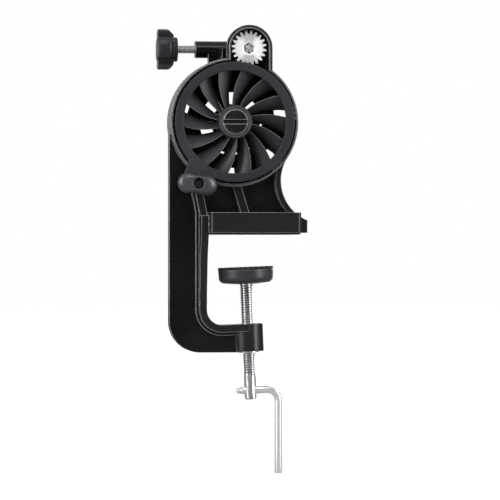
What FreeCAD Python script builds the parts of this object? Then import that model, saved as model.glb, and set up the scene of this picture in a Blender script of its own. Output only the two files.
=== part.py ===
"""Clamp-on fishing line winder, as a parametric FreeCAD document in millimetres.

+X points from the spine to the open side of the clamp, +Y from the crank side to the spool side
and +Z up. The origin is where the clamp screw's axis meets the grip face of the upper jaw.
"""
import FreeCAD, Part
import math
import os
import re

import Sketcher
from fcgear import fcgear, involute
from FreeCAD import Placement, Rotation, Vector

# alias, value, meaning
SIZES = [
    ("wheel_x", -7.3, "crank wheel axis, from the clamp screw"),
    ("wheel_z", 69.9, "crank wheel axis, above the grip face"),
    ("gear_module", 1.0, "tooth size of both gears"),
    ("wheel_teeth", 74, "teeth on the wheel's gear"),
    ("pinion_teeth", 20, "teeth on the pinion"),
    ("pressure_angle", 20, "of both gears, degrees"),
    ("mesh_gap", 0.1, "extra centre distance, gives the backlash"),
    ("pinion_bearing", 78.4, "direction from wheel axis to pinion axis, degrees"),
    ("pinion_phase", 11, "direction of one pinion tooth, degrees"),
    ("gear_width", 7.5, "face width of the wheel's gear"),
    ("pinion_width", 7.0, "face width of the pinion"),
    ("pinion_inset", 3.5, "pinion's front face behind the housing's front"),
    ("house_depth", 23.6, "housing, front to back"),
    ("house_wall", 1.5, "housing rim"),
    ("rim_gap", 0.5, "between gear tips and housing rim"),
    ("back_wall", 3.0, "rear wall of the housing"),
    ("lip_wall", 0.8, "raised inner part of the rim's front edge"),
    ("lip_step", 1.0, "outer part of the rim's front edge lies back by this"),
    ("lobe_wall", 2.4, "wall round the pinion"),
    ("pinion_room", 1.0, "between pinion tips and that wall"),
    ("lobe_rim", 6.0, "depth of the thick part of the wall round the pinion"),
    ("lobe_skin", 1.3, "that wall, further back"),
    ("lobe_floor", 1.5, "floor of the pinion's space beside the socket"),
    ("mid_wall_y", 0.5, "front of the wall behind the pinion"),
    ("mid_wall", 4.0, "thickness of that wall"),
    ("arm_bore", 8.0, "radius of the spool arm's socket"),
    ("arm_socket_wall", 2.7, "wall round that socket"),
    ("arm_socket_rear", 4.5, "socket stands out behind the housing"),
    ("axle_boss", 9.0, "radius of the boss inside the rear wall"),
    ("axle_boss_length", 5.5, "its length"),
    ("rear_boss", 9.8, "radius of the boss behind the rear wall"),
    ("rear_boss_length", 5.0, "its length"),
    ("spine_reach", 40.1, "spine's outer edge, from the wheel axis"),
    ("throat_x", -24.3, "face of the spine towards the table edge"),
    ("web_thick", 9.0, "web of spine and arm"),
    ("flange_width", 19.0, "flange along the throat, neck and arm"),
    ("flange_thick", 4.6, "flange along the throat"),
    ("root_step", 2.0, "step at the flange's root"),
    ("lean_shift", 5.0, "flange leans out by this above the jaw"),
    ("corner_radius", 19.3, "lower outer corner of the spine"),
    ("throat_radius", 9.5, "inner corner of spine and arm"),
    ("toe_in", 2.3, "lean of clamp screw and arm, degrees"),
    ("arm_drop", 55.6, "arm's upper face, below the grip face"),
    ("arm_web", 17.9, "arm's web, under its upper face"),
    ("boss_radius", 9.4, "boss round the clamp screw"),
    ("boss_length", 17.3, "its length"),
    ("jaw_length", 56.7, "jaw along X"),
    ("jaw_width", 56.6, "jaw along Y"),
    ("jaw_height", 12.5, "jaw along Z"),
    ("jaw_corner", 2.5, "jaw's upright corners"),
    ("jaw_wall", 3.0, "walls and top of the cored jaw"),
    ("nub_length", 6.2, "nose of the jaw, past its wings"),
    ("taper_top", 1.8, "wide flange's top, below the jaw's top"),
    ("taper_start", 20.0, "half width of the wide flange behind the jaw"),
    ("taper_half", 13.5, "half width of that flange at the bend of its taper"),
    ("taper_drop", 14.0, "that bend, below the grip face"),
    ("taper_round", 40.0, "radius of that bend"),
    ("taper_end", 38.0, "end of the wide flange, below the grip face"),
    ("grip_thick", 1.1, "rubber sheet under the jaw"),
    ("grip_inset", 0.5, "sheet's edge inside the jaw's edge"),
    ("groove_pitch", 8.0, "grooves across the sheet"),
    ("groove_width", 1.6, "one groove"),
    ("groove_depth", 0.6, "one groove"),
    ("neck_radius", 26.7, "hollow of the neck"),
    ("neck_bearing", -32.9, "direction from wheel axis to the neck's centre, degrees"),
    ("neck_flange", 3.4, "flange along the neck"),
    ("rib_width", 5.2, "rib between housing and jaw"),
    ("rib_depth", 15.0, "that rib along Y"),
    ("rib_foot", 7.0, "middle of its lower end, from the wheel axis"),
    ("rib_head", 1.7, "middle of its upper end, from the wheel axis"),
    ("window_low", 12.2, "inner windows of the rear wall, small radius"),
    ("window_mid", 19.8, "inner windows, large radius"),
    ("window_outer", 28.1, "outer windows, small radius"),
    ("window_rim", 35.6, "outer windows, large radius"),
    ("window_slot", 1.3, "low windows, from small to large radius"),
    ("window_half", 9.0, "half angle of an inner window"),
    ("port_half", 6.5, "half angle of an outer window"),
    ("knob_y", 10.5, "star knob's axis, behind the mid plane"),
    ("socket_radius", 5.3, "tube round the knob's screw"),
    ("socket_reach", 32.0, "tube's end, from the pinion axis"),
    ("socket_foot", 24.0, "outer edge of the tube's foot, from the pinion axis"),
    ("socket_step", 0.6, "front of that foot behind the tube's front"),
    ("slit_left", 16.7, "slit beside the lobe, far edge, from the pinion axis"),
    ("slit_width", 1.3, "that slit"),
    ("slit_top", 0.8, "that slit, above the pinion axis"),
    ("slit_height", 6.0, "that slit"),
    ("slit_depth", 1.6, "that slit, from the tube's front"),
    ("running_gap", 0.05, "radial clearance of what turns"),
    ("press_gap", 0.02, "radial clearance of what is pressed or screwed in"),
    ("thrust_gap", 0.2, "end clearance of what turns"),
    ("screw_room", 0.4, "radial clearance of a screw past its threaded bush"),
    ("overcut", 1.0, "reach of a cut past the surface that it opens"),
    ("ring_outer", 37.4, "wheel's front ring, outside"),
    ("ring_hole", 31.9, "wheel's front ring, inside"),
    ("ring_thick", 3.5, "wheel's front ring, front to back"),
    ("ring_proud", 2.5, "ring's front face before the housing's front"),
    ("barrel_step", 1.7, "wall behind the ring that carries the gear, its hollow outside the ring's"),
    ("barrel_wall", 1.2, "that wall"),
    ("hub_radius", 10.4, "wheel's hub"),
    ("hub_proud", 5.0, "hub before the housing's front"),
    ("blade_count", 14, "fan blades"),
    ("blade_phase", 8.0, "centre of one gap at the ring, degrees"),
    ("blade_swirl", 16.0, "turn of a gap from ring to hub, degrees"),
    ("gap_rim", 10.0, "gap between blades at the ring, degrees"),
    ("gap_hub", 5.5, "gap between blades at the hub, degrees"),
    ("blade_thick", 1.8, "one blade"),
    ("blade_front", 1.8, "blade's raised edge behind the ring's face"),
    ("blade_rise", 6.0, "slope of a blade, from edge to edge"),
    ("blade_sink", 0.6, "blade's end inside the hub"),
    ("bush_wall", 2.0, "hub's bearing bush"),
    ("throw", 44.6, "crank radius to the handle's hole"),
    ("throw_bearing", 239.0, "direction of that hole, degrees"),
    ("ear_offset", 6.0, "centre of each ear, from the middle of the boss"),
    ("ear_tilt", -8.0, "slope of the line through both ears, degrees"),
    ("ear_left", 0.5, "middle of the boss, to the left of the hole"),
    ("ear_drop", 0.6, "middle of the boss, below the hole"),
    ("ear_radius", 6.4, "half height of the boss at its ears"),
    ("ear_corner", 6.0, "rounding of each ear"),
    ("ear_waist", 0.5, "hollow of the boss's edges between the ears"),
    ("web_from", -20, "web of the boss on the ring, first side, degrees from the hole"),
    ("web_bend", -15.3, "shoulder of that side, degrees"),
    ("web_ear", -14.6, "end of that side at the ear, degrees"),
    ("web_to", 9.2, "web of the boss on the ring, other side, degrees"),
    ("web_turn", 3, "ends of the web inside the ring, degrees"),
    ("web_shoulder", 4.6, "that shoulder, inside the hole's radius"),
    ("web_sink", 0.3, "web's corners inside the ring's edge"),
    ("ear_thick", 5.9, "handle boss"),
    ("ear_round", 2.4, "rounded front edge of the boss"),
    ("sweep_gap", 0.6, "boss before the housing's front"),
    ("handle_hole", 3.3, "radius of the handle's hole"),
    ("handle_nut_flats", 10.0, "nut in the handle boss"),
    ("handle_nut_height", 3.4, "that nut"),
    ("handle_thread", 2.5, "radius of its tapped hole"),
    ("axle_radius", 4.0, "wheel axle"),
    ("axle_tail", 3.0, "axle's tail, through the rear wall"),
    ("head_radius", 7.95, "axle head"),
    ("head_thick", 2.6, "axle head"),
    ("head_bevel", 0.7, "axle head"),
    ("head_proud", 0.4, "axle head before the hub"),
    ("slot_width", 2.9, "slot in the head"),
    ("slot_depth", 1.4, "slot in the head"),
    ("axle_nut_flats", 10.0, "nut behind the housing"),
    ("axle_nut_height", 4.2, "that nut"),
    ("axle_nut_proud", 0.6, "that nut behind its recess"),
    ("axle_nut_room", 0.8, "recess round the washer"),
    ("tail_proud", 0.8, "axle's tail behind the boss"),
    ("washer_radius", 6.0, "washer under that nut"),
    ("washer_thick", 1.0, "that washer"),
    ("shaft_radius", 3.0, "output shaft"),
    ("shaft_hex", 6.2, "shaft in the pinion, across flats"),
    ("shaft_inset", 1.4, "shaft's end behind the pinion's face"),
    ("bore_bevel", 0.8, "bevel of the pinion's bore, past the hexagon's corners"),
    ("pinion_hub", 5.0, "hub behind the pinion"),
    ("drive_hex", 3.0, "hexagonal socket in the shaft's rear end, across flats"),
    ("drive_depth", 3.0, "that socket"),
    ("clip_radius", 5.0, "retaining clip"),
    ("clip_room", 1.5, "recess round and behind the clip"),
    ("clip_thick", 0.8, "retaining clip"),
    ("clip_seat", 2.5, "radius of its groove in the shaft"),
    ("clip_mouth", 3.6, "its opening"),
    ("bush_flange", 6.5, "shaft bush, flange radius"),
    ("bush_flange_thick", 0.8, "that flange"),
    ("knob_gap", 11.2, "star knob's hub before its socket"),
    ("knob_length", 12.4, "star knob"),
    ("knob_dome", 0.5, "its slightly raised outer face"),
    ("knob_radius", 12.7, "star knob over its lobes"),
    ("knob_hub", 7.7, "star knob's hub"),
    ("knob_collar", 2.5, "hub past the lobes"),
    ("knob_chamfer", 2.6, "bevel of the lobes towards the screw"),
    ("knob_shoulder", 10.0, "radius at the end of that bevel"),
    ("knob_lobes", 4, "lobes"),
    ("valley_radius", 4.2, "hollow between lobes"),
    ("knob_screw", 2.5, "radius of the knob's screw"),
    ("knob_screw_out", 23.8, "screw's end, from the hub's face"),
    ("knob_screw_in", 8.0, "screw inside the knob"),
    ("insert_wall", 1.2, "threaded insert in the socket"),
    ("insert_length", 8.0, "that insert"),
    ("tip_length", 2.0, "pressure tip"),
    ("tip_radius", 2.2, "pressure tip"),
    ("tip_stem", 1.0, "its stem in the screw's end"),
    ("opening", 20.2, "between jaw and foot"),
    ("foot_radius", 17.2, "clamp foot"),
    ("foot_height", 7.9, "clamp foot without its grip"),
    ("foot_round", 3.4, "its lower edge"),
    ("foot_draft", 0.4, "its lower edge inside its upper one"),
    ("foot_wall", 3.0, "its floor"),
    ("foot_cone", 1.0, "centre of its floor lower than the edge"),
    ("foot_bore", 6.5, "hollow for the retainer"),
    ("foot_grip", 1.0, "ribbed face, without its ribs"),
    ("foot_rib", 0.7, "height of its ribs"),
    ("foot_rib_pitch", 3.2, "spacing of its ribs"),
    ("screw_radius", 4.0, "clamp screw, over the thread"),
    ("screw_neck", 3.0, "neck in the foot"),
    ("neck_length", 7.6, "that neck"),
    ("thread_length", 57.5, "threaded length below the foot"),
    ("shank_radius", 3.8, "plain end of the screw"),
    ("shank_length", 14.6, "plain end of the screw"),
    ("cross_hole_up", 5.8, "cross hole above the screw's end"),
    ("retainer_radius", 5.6, "retaining ring"),
    ("retainer_thick", 1.2, "retaining ring"),
    ("nut_wall", 2.2, "threaded bush in the boss"),
    ("nut_sink", 1.0, "its upper end below the boss's face"),
    ("nut_show", 0.8, "its lower end below the boss"),
    ("rod_radius", 2.5, "clamp handle"),
    ("rod_short", 8.6, "handle's short end, from the screw's axis"),
    ("rod_reach", 17.7, "handle's long leg, from the screw's axis"),
    ("rod_drop", 52.6, "end of that leg, below the hole"),
    ("rod_bend", 7.0, "bend, on its centre line"),
    ("stake_length", 1.8, "flattened short end"),
    ("stake_width", 6.2, "flattened short end, along Y"),
    ("stake_height", 4.0, "flattened short end"),
]
ALIASES = {alias for alias, _, _ in SIZES}

doc = FreeCAD.newDocument("line_winder")
sheet = doc.addObject("Spreadsheet::Sheet", "Sizes")
for row, (alias, size, meaning) in enumerate(SIZES, start=1):
    sheet.set(f"A{row}", str(size))
    sheet.setAlias(f"A{row}", alias)
    sheet.set(f"B{row}", meaning)
doc.recompute()

# Lengths and places that follow from the driving sizes.
WHEEL_TIP = "(gear_module * (wheel_teeth + 2) / 2)"
PINION_TIP = "(gear_module * (pinion_teeth + 2) / 2)"
CENTRES = "(gear_module * (wheel_teeth + pinion_teeth) / 2 + mesh_gap)"
PINION_X = f"(wheel_x + {CENTRES} * cos(pinion_bearing))"
PINION_Z = f"(wheel_z + {CENTRES} * sin(pinion_bearing))"
CAVITY = f"({WHEEL_TIP} + rim_gap)"
HOUSE = f"({CAVITY} + house_wall)"
HOUSE_FRONT = "(-house_depth / 2)"
HOUSE_BACK = "(house_depth / 2)"
WALL_FRONT = f"({HOUSE_BACK} - back_wall)"
BOSS_FRONT = f"({WALL_FRONT} - axle_boss_length)"
REAR_FACE = f"({HOUSE_BACK} + rear_boss_length)"
RECESS_FLOOR = f"({REAR_FACE} - axle_nut_height - washer_thick + axle_nut_proud)"
LOBE_CAVITY = f"({PINION_TIP} + pinion_room)"
ARM_SOCKET = "(arm_bore + arm_socket_wall)"
ARM_SOCKET_BACK = f"({HOUSE_BACK} + arm_socket_rear)"
MID_BACK = "(mid_wall_y + mid_wall)"
NECK_X = f"(wheel_x + ({HOUSE} + neck_radius) * cos(neck_bearing))"
NECK_Z = f"(wheel_z + ({HOUSE} + neck_radius) * sin(neck_bearing))"
SPINE_X = "(wheel_x - spine_reach)"
JAW_RIGHT = "(throat_x + jaw_length)"
JAW_TOP = "(grip_thick + jaw_height)"
NUB_X = f"({JAW_RIGHT} + nub_length)"
HALF_FLANGE = "(flange_width / 2)"
FLANGE_X = "(throat_x - flange_thick)"
RING_FRONT = f"({HOUSE_FRONT} - ring_proud)"
RING_BACK = f"({RING_FRONT} + ring_thick)"
BARREL = "(ring_hole + barrel_step + barrel_wall)"
HUB_FRONT = f"({HOUSE_FRONT} - hub_proud)"
HUB_BACK = f"({BOSS_FRONT} - thrust_gap)"
HEAD_BACK = f"({HUB_FRONT} + head_thick - head_proud)"
HUB_SEAT = f"({HEAD_BACK} + thrust_gap)"
EAR_BACK = f"({HOUSE_FRONT} - sweep_gap)"
EAR_FRONT = f"({EAR_BACK} - ear_thick)"
HOLE_X = "(throw * cos(throw_bearing))"
HOLE_Z = "(throw * sin(throw_bearing))"
PINION_FRONT = f"({HOUSE_FRONT} + pinion_inset)"
PINION_BACK = f"({PINION_FRONT} + pinion_width)"
BUSH_FRONT = "(mid_wall_y - bush_flange_thick)"
BUSH_BACK = f"({MID_BACK} - clip_room)"
CLIP_FRONT = f"({BUSH_BACK} + thrust_gap)"
SOCKET_X = f"({PINION_X} - socket_reach)"
KNOB_X = f"({SOCKET_X} - knob_gap)"
SCREW_END = f"({KNOB_X} + knob_screw_out)"
FOOT_TOP = "(-opening - foot_rib - foot_grip)"
FOOT_BOTTOM = f"({FOOT_TOP} - foot_height - foot_cone)"
SHOULDER = f"({FOOT_BOTTOM} - thrust_gap / 2)"
THREAD_END = f"({SHOULDER} - thread_length)"
SCREW_BOTTOM = f"({THREAD_END} - shank_length)"
CROSS_HOLE = f"({SCREW_BOTTOM} + cross_hole_up)"
NUT_OUTER = "(screw_radius + running_gap + nut_wall)"
# Heights inside the housing, where what stands on it and hangs under it is rooted.
ROOT_HIGH = f"(wheel_z + {CAVITY} * 0.75)"
ROOT_LOW = f"(wheel_z - {HOUSE} * 0.8)"


def bound(text):
    """An expression with every size's name qualified by its sheet."""
    def qualify(match):
        return f"Sizes.{match.group()}" if match.group() in ALIASES else match.group()
    return re.sub(r"[A-Za-z_]\w*", qualify, str(text))


def value(text):
    """The number that an expression has now."""
    return float(sheet.evalExpression(bound(text)))


def arm_height(x):
    """Height of the arm's upper face at x: it is square to the leaning clamp screw."""
    return f"(-arm_drop / cos(toe_in) + ({x}) * tan(toe_in))"


# ---------------------------------------------------------------- sketches

def new_body(label, place=None):
    """An empty body, placed by the expressions in place: property path and value."""
    body = doc.addObject("PartDesign::Body", label)
    body.Label = label
    for path, text in (place or {}).items():
        body.setExpression(path, bound(text))
    return body


def leaning_body(label):
    """An empty body whose own Z axis is the leaning axis of the clamp screw."""
    body = new_body(label)
    body.Placement = Placement(Vector(), Rotation(Vector(0, -1, 0), value("toe_in")))
    body.setExpression("Placement.Rotation.Angle", bound("toe_in"))
    return body


def new_sketch(body, role, offset=None, turn=None):
    """A sketch on one of the body's own origin planes, shifted and turned by expressions.

    offset gives Base.x, Base.y or Base.z; turn gives an axis of the plane and an angle.
    """
    plane = next(part for part in body.Origin.OriginFeatures if part.Role == role)
    sketch = body.newObject("Sketcher::SketchObject", f"{body.Label}_sketch")
    sketch.AttachmentSupport = [(plane, "")]
    sketch.MapMode = "FlatFace"
    if turn:
        axis, angle = turn
        sketch.AttachmentOffset = Placement(Vector(), Rotation(axis, value(angle)))
        sketch.setExpression("AttachmentOffset.Rotation.Angle", bound(angle))
    for path, text in (offset or {}).items():
        sketch.setExpression(f"AttachmentOffset.{path}", bound(text))
    return sketch


def constrain(sketch, items):
    """Adds constraints given as (constraint, expression or None)."""
    for constraint, text in items:
        index = sketch.addConstraint(constraint)
        if text is not None:
            sketch.setExpression(f"Constraints[{index}]", bound(text))


def pin_point(index, position, x, y):
    """Constraints that fix a point of the geometry at the expressions x and y."""
    return [
        (Sketcher.Constraint("DistanceX", index, position, value(x)), x),
        (Sketcher.Constraint("DistanceY", index, position, value(y)), y),
    ]


def draw_circle(sketch, x, y, radius):
    """A circle whose centre and radius are expressions."""
    circle = Part.Circle(Vector(value(x), value(y), 0), Vector(0, 0, 1), value(radius))
    index = sketch.addGeometry(circle)
    items = pin_point(index, 3, x, y)
    items.append((Sketcher.Constraint("Radius", index, value(radius)), radius))
    constrain(sketch, items)


def draw_outline(sketch, corners, closed=True):
    """Lines through corners (x, y) or (x, y, radius); a radius rounds that corner."""
    count = len(corners)
    points = [Vector(value(corner[0]), value(corner[1]), 0) for corner in corners]
    starts, ends, arcs = list(points), list(points), {}
    for i, corner in enumerate(corners):
        if len(corner) < 3:
            continue
        into = (points[i] - points[i - 1]).normalize()
        out = (points[(i + 1) % count] - points[i]).normalize()
        left = into.cross(out).z > 0
        radius = value(corner[2])
        reach = radius * math.tan(into.getAngle(out) / 2)
        ends[i] = points[i] - into * reach
        starts[i] = points[i] + out * reach
        side = Vector(-into.y, into.x, 0) * (radius if left else -radius)
        arcs[i] = (ends[i] + side, radius, left)
    lines = {}
    for i in range(count if closed else count - 1):
        lines[i] = sketch.addGeometry(Part.LineSegment(starts[i], ends[(i + 1) % count]))
    items = []
    for i, corner in enumerate(corners):
        before = lines.get((i - 1) % count)
        after = lines.get(i)
        if i not in arcs:
            if before is not None and after is not None:
                items.append((Sketcher.Constraint("Coincident", before, 2, after, 1), None))
            index, position = (after, 1) if after is not None else (before, 2)
            items += pin_point(index, position, corner[0], corner[1])
            continue
        centre, radius, left = arcs[i]
        first, last = (ends[i], starts[i]) if left else (starts[i], ends[i])
        angles = [math.atan2(p.y - centre.y, p.x - centre.x) for p in (first, last)]
        circle = Part.Circle(centre, Vector(0, 0, 1), radius)
        arc = sketch.addGeometry(Part.ArcOfCircle(circle, angles[0], angles[1]))
        mark = sketch.addGeometry(Part.Point(points[i]), True)
        arc_in, arc_out = (1, 2) if left else (2, 1)
        items += pin_point(mark, 1, corner[0], corner[1])
        items += [
            (Sketcher.Constraint("PointOnObject", mark, 1, before), None),
            (Sketcher.Constraint("PointOnObject", mark, 1, after), None),
            (Sketcher.Constraint("Tangent", before, 2, arc, arc_in), None),
            (Sketcher.Constraint("Tangent", arc, arc_out, after, 1), None),
            (Sketcher.Constraint("Radius", arc, radius), corner[2]),
        ]
    constrain(sketch, items)


# ---------------------------------------------------------------- features

def block(x_low, y_low, x_high, y_high, *radius):
    """The four corners of a rectangle, rounded by radius if one is given."""
    return [(x_low, y_low, *radius), (x_high, y_low, *radius),
            (x_high, y_high, *radius), (x_low, y_high, *radius)]


def extrude(body, kind, sketch, length):
    """A Pad, or a Pocket, of the sketch."""
    feature = body.newObject(f"PartDesign::{kind}", f"{body.Label}_{kind.lower()}")
    feature.Profile = sketch
    feature.setExpression("Length", bound(length))
    return feature


# Axis of each direction: sketch plane, offset that reaches along the axis, its sign.
PLANES = {"X": ("YZ_Plane", 1), "Y": ("XZ_Plane", -1), "Z": ("XY_Plane", 1)}


def solid(body, direction, low, high, shapes, kind="Pad"):
    """Adds (Pad) or cuts (Pocket) shapes between low and high along X, Y or Z.

    Each shape is a circle (x, y, radius) in a tuple, or a list of corners. Seen along Y, a
    shape's coordinates are X and Z; along X they are Y and Z; along Z they are X and Y.
    """
    role, sign = PLANES[direction]
    starts_high = (sign < 0) == (kind == "Pad")
    start = high if starts_high else low
    sketch = new_sketch(body, role, {"Base.z": f"{sign} * ({start})"})
    for shape in shapes:
        if isinstance(shape, tuple):
            draw_circle(sketch, *shape)
        else:
            draw_outline(sketch, shape)
    return extrude(body, kind, sketch, f"({high}) - ({low})")


def turned(body, direction, points, kind="Revolution", offset=None):
    """A solid of revolution about X, Y or Z, or a Groove; points are (radius, along)."""
    role, axis = {"X": ("XY_Plane", "H_Axis"), "Y": ("XY_Plane", "V_Axis"),
                  "Z": ("XZ_Plane", "V_Axis")}[direction]
    if direction == "X":
        points = [(along, radius) for radius, along in points]
    sketch = new_sketch(body, role, offset)
    draw_outline(sketch, points)
    feature = body.newObject(f"PartDesign::{kind}", f"{body.Label}_turned")
    feature.Profile = sketch
    feature.ReferenceAxis = (sketch, [axis])
    feature.Angle = 360
    return feature


def ring(body, direction, inner, outer, low, high):
    """A plain ring or tube between two radii."""
    return turned(body, direction, block(inner, low, outer, high))


def around(body, feature, role, count):
    """Repeats a feature around one of the body's origin axes."""
    axis = next(part for part in body.Origin.OriginFeatures if part.Role == role)
    pattern = body.newObject("PartDesign::PolarPattern", f"{body.Label}_around")
    pattern.Originals = [feature]
    pattern.Axis = (axis, [""])
    pattern.Angle = 360
    pattern.setExpression("Occurrences", bound(count))
    body.Tip = pattern
    return pattern


def along(body, feature, role, length, count):
    """Repeats a feature along one of the body's origin axes."""
    axis = next(part for part in body.Origin.OriginFeatures if part.Role == role)
    pattern = body.newObject("PartDesign::LinearPattern", f"{body.Label}_along")
    pattern.Originals = [feature]
    pattern.Direction = (axis, [""])
    pattern.setExpression("Length", bound(length))
    pattern.setExpression("Occurrences", bound(count))
    body.Tip = pattern
    return pattern


def round_edges(body, radius, wanted):
    """Rounds the edges of the body for which wanted(edge) is true."""
    doc.recompute()
    base = body.Tip
    names = [f"Edge{i}" for i, edge in enumerate(base.Shape.Edges, start=1) if wanted(edge)]
    fillet = body.newObject("PartDesign::Fillet", f"{body.Label}_rounded")
    fillet.Base = (base, names)
    fillet.setExpression("Radius", bound(radius))
    return fillet


def hexagon(x, y, flats):
    """Corners of a hexagon with two corners up and down, of the given width across flats."""
    radius = f"(({flats}) / (2 * cos(30)))"
    return [(f"{x} + {radius} * cos({angle})", f"{y} + {radius} * sin({angle})")
            for angle in range(30, 390, 60)]


def sector(inner, outer, middle, half):
    """Four corners of a window in the rear wall, about the wheel axis."""
    return [(f"wheel_x + ({radius}) * cos({middle} + {turn})",
             f"wheel_z + ({radius}) * sin({middle} + {turn})")
            for radius, turn in ((inner, f"-{half}"), (outer, f"-{half}"),
                                 (outer, half), (inner, half))]


# ---------------------------------------------------------------- frame

INNER_WINDOWS = (40, 90, 141, 197)
OUTER_WINDOWS = (10, 162, 268, 319)
LOW_SLOTS = (249, 273, 298, 352)


def lip_outlines(extra):
    """Outlines of the pinion lobe in the front view, extra outside its cavity."""
    radius = f"({LOBE_CAVITY} + {extra})"
    walls = block(f"{PINION_X} - {radius}", ROOT_HIGH, f"{PINION_X} + {radius}", PINION_Z)
    return (PINION_X, PINION_Z, radius), walls


def add_spine(body):
    """Web, throat flange and its root step: spine, arm and the leaning top."""
    boss_x = "(arm_drop * sin(toe_in))"
    bottom = "(-arm_drop - arm_web)"
    web = [
        (SPINE_X, "wheel_z"),
        (SPINE_X, bottom, "corner_radius"),
        (boss_x, bottom),
        (boss_x, arm_height(boss_x)),
        ("throat_x", arm_height("throat_x"), "throat_radius"),
        ("throat_x", "grip_thick"),
        (NUB_X, "grip_thick"),
        (NUB_X, NECK_Z),
        (f"wheel_x + {HOUSE} * cos(neck_bearing)", f"wheel_z + {HOUSE} * sin(neck_bearing)"),
        ("wheel_x", "wheel_z"),
    ]
    solid(body, "Y", "-web_thick / 2", "web_thick / 2", [web])
    nub = block(f"{JAW_RIGHT} - jaw_wall", "grip_thick", NUB_X, JAW_TOP)
    solid(body, "Y", f"-{HALF_FLANGE}", HALF_FLANGE, [nub])
    solid(body, "Y", f"-{HALF_FLANGE}", HALF_FLANGE, [(NECK_X, NECK_Z, "neck_radius")], "Pocket")
    strips = (("flange_thick", HALF_FLANGE),
              ("(flange_thick + root_step)", "(web_thick / 2 + root_step)"))
    for thick, half in strips:
        outer_x = f"(throat_x - {thick})"
        flange = [
            ("throat_x", JAW_TOP),
            (outer_x, JAW_TOP),
            (outer_x, f"{arm_height(outer_x)} - {thick}", f"throat_radius + {thick}"),
            (boss_x, f"{arm_height(boss_x)} - {thick}"),
            (boss_x, arm_height(boss_x)),
            ("throat_x", arm_height("throat_x"), "throat_radius"),
        ]
        solid(body, "Y", f"-{half}", half, [flange])
        lean = [("throat_x", JAW_TOP), ("throat_x - lean_shift", ROOT_LOW),
                (f"{outer_x} - lean_shift", ROOT_LOW), (outer_x, JAW_TOP)]
        solid(body, "Y", f"-{half}", half, [lean])


def add_neck(body):
    """Flange that follows the hollow of the neck, turned about the neck's centre."""
    lowest = f"(360 - acos(({NUB_X} - {NECK_X}) / neck_radius) / 1deg)"
    highest = "(180 + neck_bearing)"
    sketch = new_sketch(body, "XY_Plane", {"Base.x": NECK_X, "Base.z": NECK_Z},
                        (Vector(0, -1, 0), lowest))
    draw_outline(sketch, block("neck_radius", f"-{HALF_FLANGE}",
                               "neck_radius + neck_flange", HALF_FLANGE))
    flange = body.newObject("PartDesign::Revolution", "neck_flange_turned")
    flange.Profile = sketch
    flange.ReferenceAxis = (sketch, ["V_Axis"])
    flange.setExpression("Angle", bound(f"{lowest} - {highest}"))


def add_jaw(body):
    """Jaw with its cored wings, the wide flange that tapers below it, and the rib above it."""
    half = "(jaw_width / 2)"
    wings = block("throat_x", f"-{half}", JAW_RIGHT, half, "jaw_corner")
    solid(body, "Z", "grip_thick", JAW_TOP, [wings])
    top = f"({JAW_TOP} - taper_top)"
    right = [("taper_start", top), ("taper_start", "0"),
             ("taper_half", "-taper_drop", "taper_round"),
             (HALF_FLANGE, "-taper_end")]
    left = [(f"-{corner[0]}", *corner[1:]) for corner in reversed(right)]
    solid(body, "X", FLANGE_X, "throat_x", [right + left])
    rib_low, rib_high = "(wheel_x + rib_foot)", "(wheel_x + rib_head)"
    rib = [(f"{rib_low} - rib_width / 2", JAW_TOP), (f"{rib_low} + rib_width / 2", JAW_TOP),
           (f"{rib_high} + rib_width / 2", f"wheel_z - {HOUSE} + house_wall"),
           (f"{rib_high} - rib_width / 2", f"wheel_z - {HOUSE} + house_wall")]
    solid(body, "Y", "-rib_depth / 2", "rib_depth / 2", [rib])
    cores = [block("throat_x + jaw_wall", low, f"{JAW_RIGHT} - jaw_wall", high, "jaw_corner")
             for low, high in ((HALF_FLANGE, f"{half} - jaw_wall"),
                               (f"jaw_wall - {half}", f"-{HALF_FLANGE}"))]
    solid(body, "Z", "grip_thick", f"{JAW_TOP} - jaw_wall", cores, "Pocket")


def add_housing(body):
    """Round housing and pinion lobe, each with a front edge stepped in two."""
    stepped = f"({HOUSE_FRONT} + lip_step)"
    floor = "(mid_wall_y + lobe_floor)"
    solid(body, "Y", stepped, HOUSE_BACK, [("wheel_x", "wheel_z", HOUSE)])
    solid(body, "Y", HOUSE_FRONT, HOUSE_BACK, [("wheel_x", "wheel_z", f"{CAVITY} + lip_wall")])
    lobe_walls = ((HOUSE_FRONT, "lip_wall", floor), (stepped, "lobe_wall", f"{stepped} + lobe_rim"),
                  (stepped, "lobe_skin", floor))
    for start, wall, end in lobe_walls:
        for outline in lip_outlines(wall):
            solid(body, "Y", start, end, [outline])
    solid(body, "Y", "mid_wall_y", ARM_SOCKET_BACK, [(PINION_X, PINION_Z, ARM_SOCKET)])
    web = block(f"{PINION_X} - {ARM_SOCKET}", ROOT_HIGH, f"{PINION_X} + {ARM_SOCKET}", PINION_Z)
    solid(body, "Y", "mid_wall_y", HOUSE_BACK, [web])
    solid(body, "Y", HOUSE_BACK, REAR_FACE, [("wheel_x", "wheel_z", "rear_boss")])


def add_socket(body):
    """Tube for the star knob's screw, and the foot that carries it on the housing."""
    tube = solid(body, "X", SOCKET_X, PINION_X, [("knob_y", PINION_Z, "socket_radius")])
    foot = block(f"{PINION_X} - socket_foot", ROOT_HIGH, PINION_X, PINION_Z)
    solid(body, "Y", "knob_y - socket_radius + socket_step", HOUSE_BACK, [foot])
    return tube


def add_arm_boss(body):
    """Boss round the clamp screw, square to its leaning axis."""
    reach = "(arm_drop + boss_length)"
    sketch = new_sketch(body, "XY_Plane",
                        {"Base.x": f"{reach} * sin(toe_in)", "Base.z": f"-{reach} * cos(toe_in)"},
                        (Vector(0, -1, 0), "toe_in"))
    draw_circle(sketch, "0", "0", "boss_radius")
    extrude(body, "Pad", sketch, "boss_length")


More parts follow.
